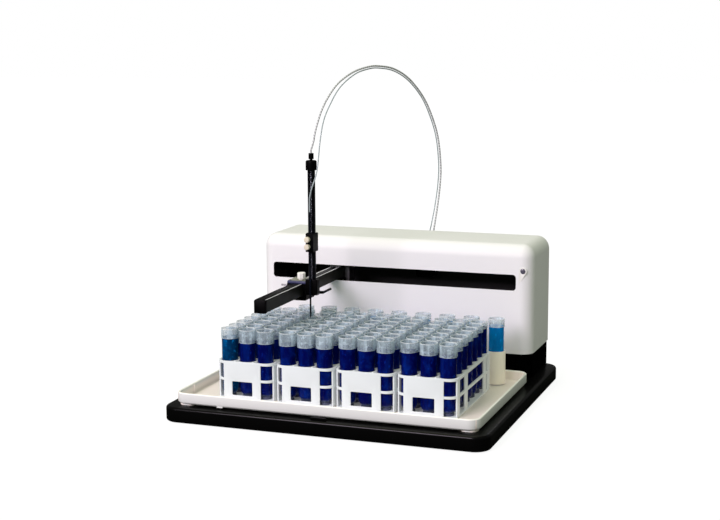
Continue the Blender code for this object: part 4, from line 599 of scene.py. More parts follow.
def make_base():
    """Pan: its outline lofted up through a pocket below and round the low and top edges."""
    rows = np.vstack([[(POCKET_INSET, POCKET_TOP), (POCKET_INSET, BASE_LOW)],
                      edge_rows(BASE_LOW, BASE_TOP, BASE_LOW_EDGE, BASE_TOP_EDGE, 6)])
    pan = risen(framed(-BASE_HALF, BASE_HALF, BASE_FRONT, BASE_BACK, BASE_CORNER, 14), rows)
    tab = slab(-TAB_HALF, TAB_HALF, TAB_FRONT, -0.2525, 0.0265, 0.0302, TAB_EDGE)
    tab += slab(-TAB_HALF, TAB_HALF, TAB_FRONT, -0.2578, BASE_TOP, 0.034, TAB_EDGE)
    make("base_shell", pan + tab, "black_base", "base_pan")
    pad = fillet(stepped(0, (FOOT_RADIUS, FOOT_HIGH)), [0.0012, 0.0002])
    for end, y in (("front", -FOOT_Y), ("rear", FOOT_Y)):
        for side, x in (("left", -FOOT_X), ("right", FOOT_X)):
            make(f"{end}_{side}_pad", revolved(pad, [(x, y)]), "rubber", f"{end}_{side}_foot")


# Spill tray

TRAY_HALF, TRAY_FRONT, TRAY_BACK, TRAY_CORNER = 0.2713, -0.2495, 0.094, 0.02
SKIRT_ROWS = [(0.005, 0.0308), (0.0034, 0.0318), (0.0004, 0.0342), (0.0, 0.0352), (0.0, 0.0489)]
LIP_RADIUS, FLOOR_TOP, FLOOR_FILLET, FLOOR_INSET = 0.0021, 0.033, 0.003, 0.0085
PAD, PAD_LEFTS, PAD_FRONTS = 0.03, (-0.2663, 0.2363), (-0.2445, 0.059)


def make_tray():
    """Tray: its outline lofted from the flared skirt over a round lip to a filleted floor."""
    lip = arc(LIP_RADIUS, SKIRT_ROWS[-1][1], LIP_RADIUS, math.pi - np.linspace(0, math.pi, 11))
    floor = arc(FLOOR_INSET, FLOOR_TOP + FLOOR_FILLET, FLOOR_FILLET, math.pi + quarter(5))
    parts = risen(framed(-TRAY_HALF, TRAY_HALF, TRAY_FRONT, TRAY_BACK, TRAY_CORNER, 12),
                  np.vstack([SKIRT_ROWS, lip, floor]))
    for left in PAD_LEFTS:
        for near in PAD_FRONTS:
            parts += slab(left, left + PAD, near, near + PAD, BASE_TOP + GAP, 0.0319, 0.0006, 0.012)
    # Rib on the left wall, and the small tab on the skirt
    parts += slab(-0.2664, -0.2646, -0.185, -0.1815, 0.0335, 0.049)
    parts += slab(-0.1905, -0.1795, -0.2494, -0.2455, 0.0306, 0.033)
    make("tray_shell", parts, "tray", "spill_tray")


# Racks, their tubes and the liquid in them

RACK_CENTRES = [-0.1614, -0.0519, 0.0576, 0.1671]
RACK_HALF, RACK_FRONT, RACK_BACK, RACK_CORNER = 0.0534, -0.1985, 0.0244, 0.01695
RACK_BASE, RACK_FLOOR, RACK_TOP, RACK_PLATE = 0.0333, 0.0357, 0.101, 0.0046
SHELF_LOW, SHELF_TOP = 0.0665, 0.0711
COLUMN_PITCH, ROW_PITCH, RACK_MIDDLE_Y = 0.0338, 0.0315, -0.08705
PANEL_SHIFT, PANEL_HALF, PANEL_THICK = -0.004, 0.03475, 0.0015
WINDOW_HALF, WINDOW_LOW, WINDOW_TOP, WINDOW_CORNER = 0.019, 0.0413, 0.0658, 0.0015
POST_PLACES, POST_HALF, POST_WALL, POST_TOP = (0.01695, 0.064, 0.182, 0.20595), 0.008, 0.003, 0.0985
WEB_HALF, WEB_HIGH = 0.0016, 0.0018
TUBE_RADIUS, TUBE_WALL, TUBE_LOW, TUBE_RIM = 0.0153, 0.0013, 0.0361, 0.1561


def rack_places(centre):
    column, row = np.meshgrid([-1, 0, 1], np.arange(-3, 4), indexing="ij")
    return np.stack([centre + column.ravel() * COLUMN_PITCH,
                     RACK_MIDDLE_Y + row.ravel() * ROW_PITCH], axis=1)


def stadium(x, low, high, radius, steps=12):
    """Outline of a slot with round ends."""
    turn = np.linspace(0, math.pi, steps + 1)
    return np.vstack([arc(x, high, radius, turn), arc(x, low, -radius, turn)])


def make_rack(number, centre):
    """Rack: pierced top plate, slotted middle plate, floor with seats, end panels and posts."""
    left, right = centre - RACK_HALF, centre + RACK_HALF

    def outline(shift):
        return framed(left + shift, right - shift, RACK_FRONT + shift / 2, RACK_BACK - shift / 2,
                      RACK_CORNER - shift / 2, 10)

    places = rack_places(centre)
    hole = TUBE_RADIUS + 0.0001
    parts = plate(outline(0), [bored(x, y, hole) for x, y in places], RACK_TOP - RACK_PLATE,
                  RACK_TOP, 0.0003)
    reach = 3 * ROW_PITCH
    slots = [(lambda growth, x=x: stadium(x, RACK_MIDDLE_Y - reach, RACK_MIDDLE_Y + reach,
                                          hole + growth))
             for x in (centre - COLUMN_PITCH, centre, centre + COLUMN_PITCH)]
    parts += plate(outline(0.0006), slots, SHELF_LOW, SHELF_TOP, 0.0006)
    parts += plate(outline(0.0012), [], RACK_BASE, RACK_FLOOR, 0.0006)
    middle = centre + PANEL_SHIFT
    panel = framed(middle - PANEL_HALF, middle + PANEL_HALF, RACK_BASE + GAP, RACK_TOP - 0.0004,
                   0.001, 3, 0.001)
    window = lambda growth: framed(middle - WINDOW_HALF, middle + WINDOW_HALF, WINDOW_LOW,
                                   WINDOW_TOP, WINDOW_CORNER)(-growth)
    for low, high in ((RACK_FRONT - HAIR, RACK_FRONT + PANEL_THICK),
                      (RACK_BACK - PANEL_THICK, RACK_BACK + HAIR)):
        parts += plate(panel, [window], low, high, 0.0003, "Y", 2)
    for place in POST_PLACES:
        near = RACK_FRONT + place - POST_HALF
        for post in (left + POST_WALL / 2, right - 1.5 * POST_WALL):
            parts += slab(post, post + POST_WALL, near, near + 2 * POST_HALF, RACK_BASE + GAP,
                          POST_TOP, 0.0006, 0.0012)
    for x in (centre - COLUMN_PITCH / 2, centre + COLUMN_PITCH / 2):
        parts += slab(x - WEB_HALF, x + WEB_HALF, RACK_FRONT - 0.0001, RACK_FRONT + 0.0015,
                      RACK_TOP - 0.001, RACK_TOP + WEB_HIGH, 0.0005, 0.0007)
    make(f"rack_{number}", parts, "white_rack", f"sample_rack_{number}")
    # The seats take the dark seat_shade: painted shade under the tubes
    seat = fillet([(0, 0.0356), (0.0098, 0.0356), (0.0098, 0.04), (0.0078, 0.04),
                   (0.004, 0.0362), (0, 0.0362)], [0.0003, 0.0008, 0.0008, 0.002])
    make(f"rack_{number}_seats", revolved(seat, places, 20), "seat_shade")


def round_foot(radius, low):
    """Quarter of a sphere's outline, from the axis up to the wall."""
    return arc(0, low + radius, radius, quarter(8) - math.pi / 2)


def tube_profile(radius, wall, low, rim):
    """Round-bottomed tube's wall, from its foot outside, over the rim, to its foot inside."""
    top = arc(radius - wall / 2, rim - wall / 2, wall / 2, np.linspace(0, math.pi, 7))
    return np.vstack([round_foot(radius, low), top, round_foot(radius - wall, low + wall)[::-1]])


def liquid_profile(radius, low, level):
    """Liquid from its round foot up to a surface that climbs a little at the wall."""
    return np.vstack([round_foot(radius, low), [
        (radius, level + 0.0011), (radius * 0.93, level + 0.0004), (radius * 0.8, level),
        (0, level)]])


# Liquid's height in each rack's front row, and in the last rack's right column from the front
FRONT_LEVELS = [(0.1392, 0.1331, 0.1343), (0.1339, 0.1331, 0.134), (0.1372, 0.1362, 0.135),
                (0.1388, 0.1368, 0.1352)]
RIGHT_LEVELS = [0.1352, 0.1392, 0.1412, 0.1424, 0.1432, 0.144, 0.1448]
USUAL_LEVEL, LEVEL_SPREAD = 0.1345, 0.001


def tube_levels(number):
    """Level in each of a rack's 21 tubes, column by column from the left and front."""
    chance = np.random.default_rng(40 + number)
    levels = USUAL_LEVEL + chance.normal(0, LEVEL_SPREAD, (3, 7))
    levels[:, 0] = FRONT_LEVELS[number - 1]
    if number == len(RACK_CENTRES):
        levels[2] = RIGHT_LEVELS
    return levels.ravel()


def make_tubes(number, centre):
    """Tubes of one rack, and the liquid in them, each to its own level."""
    places = rack_places(centre)
    levels = tube_levels(number)
    tubes = revolved(tube_profile(TUBE_RADIUS, TUBE_WALL, TUBE_LOW, TUBE_RIM), places)
    make(f"tubes_{number}", tubes, "clear_tube", f"sample_tubes_{number}",
         attributes={"level": np.repeat(levels, len(tubes[0][0]) // len(places))})
    wall = TUBE_WALL + HAIR
    parts = [revolved(liquid_profile(TUBE_RADIUS - wall, TUBE_LOW + wall, level), [place], 28)[0]
             for place, level in zip(places, levels)]
    first = int(number == 1)
    make(f"liquid_{number}", parts[first:], "sample_liquid")
    if first:
        make("liquid_first", parts[:1], "first_liquid")


# Standards row and rinse station

STANDARDS_Y, STANDARDS_FIRST, STANDARDS_PITCH = 0.057, -0.1951, 0.4146 / 9
STANDARDS_RADIUS, STANDARDS_LOW, STANDARDS_RIM, STANDARDS_LEVEL = 0.015, 0.0334, 0.1534, 0.139
SLEEVE_RADIUS, SLEEVE_BORE, SLEEVE_LOW, SLEEVE_TOP = 0.0168, 0.0154, 0.0346, 0.095
LINK_HALF, LINK_TOP = 0.002, 0.0948
CUP_PROFILE = stepped(0.0333, (0.0175, 0.0373), (0.0125, 0.13), (0.0085, 0.05))
CUP_FILLETS = [0.0005, 0.001, 0.002, 0.0012, 0.0008, 0.002]


def make_standards():
    """Linked sleeves, their larger tubes with liquid, and the rinse station at the left."""
    xs = STANDARDS_FIRST + STANDARDS_PITCH * np.arange(1, 10)
    sleeves = []
    for x in xs:
        sleeves += plate(lambda inset, x=x: circle(x, STANDARDS_Y, SLEEVE_RADIUS - inset, 40),
                         [bored(x, STANDARDS_Y, SLEEVE_BORE, 40)], SLEEVE_LOW, SLEEVE_TOP, 0.0004,
                         steps=2)
    link = SLEEVE_RADIUS - 0.0006
    for first, second in zip(xs, xs[1:]):
        sleeves += slab(first + link, second - link, STANDARDS_Y - LINK_HALF,
                        STANDARDS_Y + LINK_HALF, SLEEVE_LOW, LINK_TOP, 0.0004)
    make("standards_sleeves", sleeves, "standards_white", "standards_rack")
    places = np.stack([xs, np.full(len(xs), STANDARDS_Y)], axis=1)
    tubes = revolved(tube_profile(STANDARDS_RADIUS, TUBE_WALL, STANDARDS_LOW, STANDARDS_RIM),
                     places, 36)
    make("standards_row", tubes, "standards_tube", "standards_tubes",
         attributes={"level": np.full(len(tubes[0][0]), STANDARDS_LEVEL)})
    wall = TUBE_WALL + HAIR
    liquid = liquid_profile(STANDARDS_RADIUS - wall, STANDARDS_LOW + wall, STANDARDS_LEVEL - HAIR)
    make("standards_liquid_row", revolved(liquid, places, 30), "standards_liquid")
    cup = revolved(fillet(CUP_PROFILE, CUP_FILLETS), [(STANDARDS_FIRST, STANDARDS_Y)], 40)
    make("rinse_cup", cup, "white_rack", "rinse_station")


# Housing, its slot and its window

HOUSING_HALF, HOUSING_FRONT, HOUSING_BACK = 0.268, 0.125, 0.262
HOUSING_LOW, HOUSING_TOP, HOUSING_EDGE, HOUSING_SIDE_EDGE = 0.0737, 0.276, 0.025, 0.0232
HOUSING_WALL = 0.003
SLOT_LEFT, SLOT_RIGHT, SLOT_LOW, SLOT_TOP, SLOT_CORNER = -0.2446, 0.2373, 0.1923, 0.2217, 0.006
LAMP_X, LAMP_Z, LAMP_BORE = 0.25, 0.2288, 0.0052
LENS_PROFILE = [(0, 0.12485), (0.0044, 0.1249), (0.005, 0.1254), (0.005, 0.137), (0, 0.137)]
LAND_RADIUS, LAND_LEFT, LAND_TOP, LAND_LOW = 0.00725, 0.2425, 0.2321, 0.2028


def sheet(points, smooth=True):
    return grid(np.asarray(points, float), False, False, smooth)


def make_housing():
    """Shell: flat front with its slot, flat top and sides, joined by quarter rounds and octants."""
    radius, wide = HOUSING_EDGE, HOUSING_SIDE_EDGE
    near, high = HOUSING_FRONT + radius, HOUSING_TOP - radius
    half = HOUSING_HALF - wide
    turn = quarter(16)
    slot = rounded(SLOT_LEFT, SLOT_RIGHT, SLOT_LOW, SLOT_TOP, SLOT_CORNER, 6)
    corners = np.repeat([(half, high), (-half, high), (-half, HOUSING_LOW), (half, HOUSING_LOW)],
                        len(slot) // 4, axis=0)
    over = arc(near, high, radius, math.pi - turn)
    parts = [
        grid(np.stack([lifted(loop, HOUSING_FRONT, "Y") for loop in (corners, slot)]),
             smooth=False),
        sheet([[(x, y, HOUSING_TOP) for x in (-half, half)] for y in (near, HOUSING_BACK)], False),
        sheet([[(x, y, z) for x in (-half, half)] for y, z in over])]
    for side in (-1, 1):
        upright = zip(side * (half + wide * np.sin(turn)), near - radius * np.cos(turn))
        along = zip(side * (half + wide * np.cos(turn)), high + radius * np.sin(turn))
        spin, rise = np.meshgrid(turn, turn, indexing="ij")
        octant = np.stack([side * (half + wide * np.sin(spin) * np.cos(rise)),
                           near - radius * np.cos(spin) * np.cos(rise),
                           high + radius * np.sin(rise)], axis=-1)
        parts += [
            sheet([[(side * HOUSING_HALF, y, z) for y in (near, HOUSING_BACK)]
                   for z in (HOUSING_LOW, high)], False),
            sheet([[(x, y, z) for z in (HOUSING_LOW, high)] for x, y in upright]),
            sheet([[(x, y, z) for y in (near, HOUSING_BACK)] for x, z in along]),
            sheet(octant)]
    # The shell's inner face is near black: painted shade inside the housing
    make("housing_shell", parts, "white_shell", "housing_cover", solid=HOUSING_WALL,
         inner="shell_inside", sharp=60.0)


def make_lamp():
    """Status window's lens in a land whose outline is an arc with a tail at its left."""
    def land(inset):
        round_side = arc(LAMP_X, LAMP_Z, LAND_RADIUS - inset, np.radians(np.linspace(-38, 150, 33)))
        return np.vstack([round_side, [(LAND_LEFT + inset, LAND_TOP - inset),
                                       (LAND_LEFT + inset, LAND_LOW + 3 * inset)]])

    parts = plate(land, [bored(LAMP_X, LAMP_Z, LAMP_BORE)], HOUSING_FRONT - HAIR,
                  HOUSING_FRONT + 0.008, HAIR, "Y", 2)
    make("window_land", parts, "shell_land")
    make("window_lens", revolved(LENS_PROFILE, [(LAMP_X, LAMP_Z)], axis="Y"), "lens",
         "status_window")


# Plinth

PLINTH_HALF, PLINTH_FRONT, PLINTH_BACK, PLINTH_CORNER = 0.266, 0.127, 0.262, 0.022
PLINTH_ROWS = [(0.003, 0.0676), (0.003, 0.0283), (0.0003, 0.0283), (0.0, 0.0286), (0.0, 0.0701),
               (0.0002, 0.0705), (0.0006, 0.0706)]
RIM_LOW, RIM_WALL = 0.0704, 0.0022


def make_plinth():
    """Plinth: rounded front corners, square behind, lofted up from a hollow below; its rim."""
    def front(inset):
        size = PLINTH_CORNER - inset
        return mirrored(arc(PLINTH_HALF - inset - size, PLINTH_FRONT + inset + size, size,
                            -quarter(10)))

    def outline(inset):
        back = [(side * (PLINTH_HALF - inset), PLINTH_BACK - inset) for side in (-1, 1)]
        return np.vstack([back, front(inset)])

    make("plinth_shell", risen(outline, PLINTH_ROWS), "black_plinth", "rear_plinth")
    high = HOUSING_LOW - HAIR
    loops = np.stack([lifted(front(inset), z) for inset, z in (
        (0.0, RIM_LOW), (0.0, high), (RIM_WALL, high), (RIM_WALL, RIM_LOW))], axis=1)
    make("plinth_rim", [grid(loops), cap(loops[0]), cap(loops[-1])], "black_plinth")


# Belts and pulleys

BELT_INNER, WHEEL_RADIUS, WHEEL_HIGH, SHAFT_RADIUS = 0.0069, 0.0066, 0.006, 0.002
FLANGE_RADIUS, FLANGE = 0.0076, 0.0012


def make_belt(name, first, second, across, low, high, outer, crosswise, body, node):
    """Flat belt on edge, its loop of two straight runs and two half circles kept crisp."""
    turn = np.linspace(-math.pi / 2, math.pi / 2, 17)
    rows = []
    for radius, z in ((BELT_INNER, low), (outer, low), (outer, high), (BELT_INNER, high)):
        path = np.vstack([arc(second, across, radius, turn), arc(first, across, -radius, turn)])
        rows.append(lifted(path[:, ::-1] if crosswise else path, z))
    make(name, lofted(rows, closed=True), "belt", node, body)


def make_pulley(name, x, y, belt_low, shaft_low, shaft_high):
    """Toothed pulley between two flanges on its shaft."""
    low, high = belt_low - GAP, belt_low + WHEEL_HIGH + GAP
    profile = stepped(shaft_low, (SHAFT_RADIUS, low - FLANGE), (FLANGE_RADIUS, low),
                      (WHEEL_RADIUS, high), (FLANGE_RADIUS, high + FLANGE),
                      (SHAFT_RADIUS, shaft_high))
    make(f"{name}_wheel", revolved(profile, [(x, y)], 40), "aluminium", f"{name}_pulley", name)


# Arm

ARM_X, ARM_HALF, ARM_LOW, ARM_HIGH, ARM_EDGE = -0.121, 0.011, 0.1945, 0.216, 0.0004
BEAM_FRONT, BEAM_BACK, GROOVE_HALF, GROOVE_LOW, RIB_HALF = -0.2117, 0.1597, 0.00915, 0.2062, 0.00595
NOSE_DROP, NOSE_CORNER = 0.0016, 0.0022
NOSE_ROWS = [(0, -0.212), (0, -0.2166), (0.0003, -0.2174), (0.0015, -0.218)]
ARM_WHEEL_FRONT, ARM_WHEEL_BACK, ARM_SHAFT_TOP = -0.2015, 0.1442, 0.2157
ARM_BELT_LOW, ARM_BELT_TOP, ARM_BELT_OUTER = 0.2068, 0.2155, 0.009
SHADE_STRIPS_LEFT = ARM_X - 0.0091


def make_arm():
    """Arm: channel with two belt grooves beside a centre rib, end cap, belt and pulleys."""
    shoulder = ARM_HIGH - ARM_EDGE
    section = mirrored([
        (ARM_HALF - ARM_EDGE, ARM_LOW), (ARM_HALF, ARM_LOW + ARM_EDGE), (ARM_HALF, shoulder),
        (ARM_HALF - ARM_EDGE, ARM_HIGH), (GROOVE_HALF + ARM_EDGE, ARM_HIGH),
        (GROOVE_HALF, shoulder), (GROOVE_HALF, GROOVE_LOW)], ARM_X)
    parts = extruded(section, BEAM_FRONT, BEAM_BACK, "Y")
    parts += slab(ARM_X - RIB_HALF, ARM_X + RIB_HALF, BEAM_FRONT + 0.021, BEAM_BACK - 0.02875,
                  0.2055, ARM_HIGH, 0.0004)
    make("arm_channel", parts, "arm_black", "arm_beam", "arm", sharp=25.0)
    nose = framed(ARM_X - ARM_HALF, ARM_X + ARM_HALF, ARM_LOW - NOSE_DROP, ARM_HIGH,
                  NOSE_CORNER, 5)
    make("arm_nose", risen(nose, NOSE_ROWS, "Y"), "black_plastic", "arm_end_cap", "arm")
    make_belt("arm_belt_loop", ARM_WHEEL_FRONT, ARM_WHEEL_BACK, ARM_X, ARM_BELT_LOW, ARM_BELT_TOP,
              ARM_BELT_OUTER, True, "arm", "arm_belt")
    # Black strips: painted shade over the left belt run, where the belt lies in shadow, and a strip over
    # the belt's turn at the arm's front for the dark top of the end cap
    cover = slab(SHADE_STRIPS_LEFT, ARM_X - 0.006, -0.19, -0.03, 0.2156, 0.2161, 0.0002)
    cover += slab(SHADE_STRIPS_LEFT, ARM_X + 0.0064, -0.2118, -0.1905, 0.2158, 0.2163, 0.0002)
    make("groove_shade_strips", cover, "black_arm", body="arm")
    make_pulley("arm_drive", ARM_X, ARM_WHEEL_BACK, ARM_BELT_LOW, ARM_LOW, ARM_SHAFT_TOP)
    make_pulley("arm_idler", ARM_X, ARM_WHEEL_FRONT, ARM_BELT_LOW, 0.2053, ARM_SHAFT_TOP)


# Carriage

CARRIAGE_LEFT, CARRIAGE_RIGHT, CARRIAGE_FRONT, CARRIAGE_BACK = -0.14, -0.1028, -0.055, -0.015
CARRIAGE_LOW, CARRIAGE_HIGH, CARRIAGE_STEP = 0.186, 0.2162, 0.0022
PASSAGE_HALF, PASSAGE_LOW = 0.0115, 0.194
LID_ROWS = [(0.0002, 0.2165), (0, 0.2168), (0, 0.2197), (0.0003, 0.2203), (0.0015, 0.2215)]
LID_SCREWS = [(-0.1355, -0.0195), (-0.1065, -0.0195), (-0.1355, -0.0505)]
PIN_Y, PIN_Z, PIN_RADIUS, PIN_LEFT, PIN_RIGHT = -0.051, 0.2122, 0.0016, -0.1525, -0.1385
THUMBSCREW = [(-0.117, -0.042)]
FLAG_LOW, FLAG_TOP, FLAG_LEFT, FLAG_TURN, FLAG_RIGHT = 0.1943, 0.1981, -0.1025, -0.0855, -0.0825


def make_carriage():
    """Block round the arm, its plate, lobed thumbscrew, side pin and thin flag."""
    left, right, high, step = CARRIAGE_LEFT, CARRIAGE_RIGHT, CARRIAGE_HIGH, CARRIAGE_STEP
    inner_left, inner_right = ARM_X - PASSAGE_HALF, ARM_X + PASSAGE_HALF
    section = [
        (left + step, CARRIAGE_LOW), (right - step, CARRIAGE_LOW), (right, CARRIAGE_LOW + step),
        (right, high), (inner_right, high), (inner_right, PASSAGE_LOW), (inner_left, PASSAGE_LOW),
        (inner_left, high), (left, high), (left, CARRIAGE_LOW + step)]
    make("carriage_body", extruded(section, CARRIAGE_FRONT, CARRIAGE_BACK, "Y"), "black_arm",
         "carriage_block", "carriage", sharp=25.0)
    pin = fillet(stepped(PIN_LEFT, (PIN_RADIUS, PIN_RIGHT)), [0.0006, 0.0001])
    make("carriage_pin", revolved(pin, [(PIN_Y, PIN_Z)], 24, "X"), "pin_steel", body="carriage")
    lid = framed(left, right, CARRIAGE_FRONT, CARRIAGE_BACK, 0.0018, 4, 0.0018)
    make("carriage_lid", risen(lid, LID_ROWS), "plate_top", "carriage_plate", "carriage")
    head = fillet(stepped(0.2213, (0.0021, 0.2223), (0.0012, 0.2217)),
                  [0.0001, 0.0003, 0.0001, 0.0001])
    make("carriage_screws", revolved(head, LID_SCREWS, 24), "steel", body="carriage")
    neck = fillet(stepped(0.2218, (0.0055, 0.224)), [0.0004, 0.0004])
    head = fillet([(0, 0.2238), (0.007, 0.2238), (0.0074, 0.2246), (0.0074, 0.2335),
                   (0.0064, 0.2348), (0.0056, 0.2348), (0.005, 0.2341), (0, 0.2341)],
                  [0.0005, 0.0004, 0.001, 0.0006, 0.0005, 0.0006])
    make("thumbscrew_head",
         revolved(neck, THUMBSCREW, 40) + revolved(head, THUMBSCREW, 96, lobes=8, depth=0.045),
         "white_nylon", "carriage_thumbscrew", "thumbscrew")
    flag = slab(FLAG_LEFT, FLAG_RIGHT, -0.025, -0.015, FLAG_LOW, FLAG_TOP, 0.0004)
    flag += slab(FLAG_TURN, FLAG_RIGHT, -0.018, 0.018, FLAG_LOW, FLAG_TOP, 0.0004)
    make("flag_blade", flag, "black_plastic", "home_flag", "carriage")


# Vertical drive, slider and probe

DRIVE_X, DRIVE_Y, PROBE_Y = -0.091, -0.0535, -0.0637
DRIVE_BLOCK, DRIVE_BLOCK_LOW, DRIVE_BLOCK_TOP = (-0.1025, -0.0795, -0.0607, -0.0462), 0.198, 0.226
SLEEVE_OUTSIDE, SLEEVE_INSIDE, SLEEVE_SLIT = 0.00675, 0.00495, 0.0025
SLEEVE_ENDS, AUGER_ENDS, AUGER_LEAD = (0.2263, 0.4213), (0.2273, 0.4203), 0.016
AUGER_HALF, AUGER_HALF_THICK = 0.0036, 0.0011
CAP_PROFILE = stepped(0.4216, (0.0099, 0.4391), (0.0024, 0.4411), (0.0046, 0.4516))[:-1]
CAP_PROFILE += [(0.003, 0.4516), (0, 0.4513)]
CAP_FILLETS = [0.0008, 0.0034, 0.0008, 0.0003, 0.0005, 0.0008, 0.0004]
SLIDER_LEFT, SLIDER_RIGHT, SLIDER_FRONT, SLIDER_BACK = -0.0995, -0.0825, -0.0687, -0.0455
SLANT_LEFT, SLANT_BACK, SLIDER_LOW, SLIDER_TOP = -0.097, -0.06, 0.277, 0.3098
SLIDER_BORE, PROBE_BORE = 0.00715, 0.0019
KNOB_X, KNOB_HEIGHTS = -0.0928, (("upper", 0.2998), ("lower", 0.2866))
PROBE_RADIUS, PROBE_TIP, PROBE_TOP = 0.0016, 0.1578, 0.348


def make_drive():
    """Block, slotted tube, twisted auger, and the cap with its fitting."""
    make("drive_foot", plate(framed(*DRIVE_BLOCK, 0.002, 5), [], DRIVE_BLOCK_LOW,
                             DRIVE_BLOCK_TOP, 0.0008), "black_plastic", "drive_block", "carriage")
    sides = []
    for size in (SLEEVE_OUTSIDE, SLEEVE_INSIDE):
        slit = math.asin(SLEEVE_SLIT / size)
        turn = np.linspace(-math.pi / 2 + slit, 1.5 * math.pi - slit, 49)
        sides.append(arc(DRIVE_X, DRIVE_Y, size, turn))
    make("drive_sleeve", extruded(np.vstack([sides[0], sides[1][::-1]]), *SLEEVE_ENDS),
         "drive_black", "drive_tube", "carriage", sharp=30.0)

    height = np.linspace(*AUGER_ENDS, 400)
    turn = (TAU * (height - AUGER_ENDS[0]) / AUGER_LEAD)[:, None]
    wide, deep = rounded(-AUGER_HALF, AUGER_HALF, -AUGER_HALF_THICK, AUGER_HALF_THICK, 0.0006, 3).T
    points = np.stack([DRIVE_X + wide * np.cos(turn) - deep * np.sin(turn),
                       DRIVE_Y + wide * np.sin(turn) + deep * np.cos(turn),
                       np.repeat(height[:, None], len(wide), axis=1)], axis=-1)
    make("auger_strip", lofted(points), "auger_steel", "drive_auger", "auger")
    make("drive_head", revolved(fillet(CAP_PROFILE, CAP_FILLETS), [(DRIVE_X, DRIVE_Y)], 48),
         "black_plastic", "drive_cap", "carriage")


def make_slider():
    """Slider that wraps the tube, two knurled knobs on its front, and the thin probe."""
    def outline(inset):
        left, right, front, back = (SLIDER_LEFT + inset, SLIDER_RIGHT - inset,
                                    SLIDER_FRONT + inset, SLIDER_BACK - inset)
        return np.array([(right, back), (left, back), (left, SLANT_BACK),
                         (SLANT_LEFT + inset, front), (right, front)])

    holes = [bored(DRIVE_X, DRIVE_Y, SLIDER_BORE, 40), bored(DRIVE_X, PROBE_Y, PROBE_BORE, 20)]
    parts = plate(outline, holes, SLIDER_LOW, SLIDER_TOP, 0.0006)
    parts += slab(DRIVE_X - 0.0017, DRIVE_X + 0.0017, -0.061, -0.0577, 0.2935, 0.2995, 0.0003)
    make("slider_body", parts, "black_plastic", "probe_slider", "probe_slide")
    grip = fillet([(0, -0.069), (0.0048, -0.069), (0.005, -0.0696), (0.005, -0.0756),
                   (0.004, -0.0765), (0, -0.0765)], [0.0003, 0.0003, 0.0006, 0.0004])
    for name, z in KNOB_HEIGHTS:
        make(f"{name}_grip", revolved(grip, [(KNOB_X, z)], 96, "Y", 24, 0.022), "nylon",
             f"{name}_clamp_knob", f"{name}_knob")
    needle = fillet([(0, PROBE_TIP), (0.0005, PROBE_TIP), (PROBE_RADIUS, PROBE_TIP + 0.004),
                     (PROBE_RADIUS, PROBE_TOP), (0, PROBE_TOP)], [0.0001, 0.002, 0.0003])
    make("probe_needle", revolved(needle, [(DRIVE_X, PROBE_Y)], 24), "probe_black", "probe",
         "probe_slide")


# Flexible lines, their routes as run, height and side in an upright plane behind the drive

ARCH_X, ARCH_Y = DRIVE_X + 0.0025, DRIVE_Y + 0.002
ARCH_AHEAD = np.array([0.349, 0.937]) / math.hypot(0.349, 0.937)
ARCH_SIDE = np.array([ARCH_AHEAD[1], -ARCH_AHEAD[0], 0.0])
SHEATH_RADIUS, WINDING, LINE_RADIUS = 0.0017, 0.0055, 0.0011
LINES_LOW, CARRIED_TOP = 0.2223, 0.562
SHEATH_ROUTE = [
    (0.0022, 0.472, 0), (0.0078, 0.491, 0), (0.023, 0.523, 0), (0.044, 0.55, 0),
    (0.0717, 0.5729, 0), (0.1121, 0.5905, 0), (0.1533, 0.5985, 0), (0.1827, 0.599, 0),
    (0.2253, 0.593, 0), (0.2692, 0.5745, 0), (0.3098, 0.5426, 0), (0.3374, 0.5076, 0),
    (0.3609, 0.4607, 0), (0.3709, 0.4082, 0), (0.3702, 0.3678, 0), (0.3617, 0.322, 0),
    (0.3503, 0.2781, 0), (0.3438, 0.25, 0), (0.3416, 0.233, 0),
]
LINE_ROUTE = [
    (-0.0135, 0.364, 0.003), (-0.014, 0.376, 0.0045), (-0.0119, 0.3925, 0.0082),
    (-0.006, 0.4124, 0.0122), (0.0, 0.4354, 0.0122), (0.0065, 0.4713, 0.0115),
    (0.0205, 0.5073, 0.0079), (0.042, 0.535, 0.0045), (0.0705, 0.564, 0.003),
    (0.1125, 0.5862, 0.002), (0.1533, 0.5948, 0.001), (0.1827, 0.5953, 0.001),
    (0.224, 0.5893, 0.0005), (0.2668, 0.5714, 0.0), (0.3068, 0.5403, -0.0005),
    (0.3337, 0.5059, -0.001), (0.3568, 0.46, -0.0015), (0.3668, 0.4095, -0.002),
    (0.3661, 0.3686, -0.0025), (0.3578, 0.323, -0.0035), (0.3473, 0.2795, -0.006),
    (0.342, 0.25, -0.012), (0.34, 0.233, -0.016),
]


def arch_points(start, route):
    """Points of a route after its start, and down to the ports behind the housing."""
    run, height, side = np.array(route, float).T
    points = np.stack([ARCH_X + run * ARCH_AHEAD[0] + side * ARCH_AHEAD[1],
                       ARCH_Y + run * ARCH_AHEAD[1] - side * ARCH_AHEAD[0], height], axis=1)
    return np.vstack([start, points, [(*points[-1][:2], LINES_LOW)]])


def smooth_path(route, spacing):
    """Even steps along the cubic curve through a route, and their distances along it."""
    ends = np.vstack([2 * route[0] - route[1], route, 2 * route[-1] - route[-2]])
    a, b, c, d = (part[:, None] for part in (ends[:-3], ends[1:-2], ends[2:-1], ends[3:]))
    t = (np.arange(64) / 64)[None, :, None]
    fine = (2 * b + (c - a) * t + (2 * a - 5 * b + 4 * c - d) * t ** 2
            + (3 * b - a - 3 * c + d) * t ** 3) / 2
    fine = np.vstack([fine.reshape(-1, 3), route[-1:]])
    travelled = np.concatenate([[0], np.cumsum(np.linalg.norm(np.diff(fine, axis=0), axis=1))])
    even = np.linspace(0, travelled[-1], int(round(travelled[-1] / spacing)) + 1)
    return np.stack([np.interp(even, travelled, fine[:, k]) for k in range(3)], axis=1), even


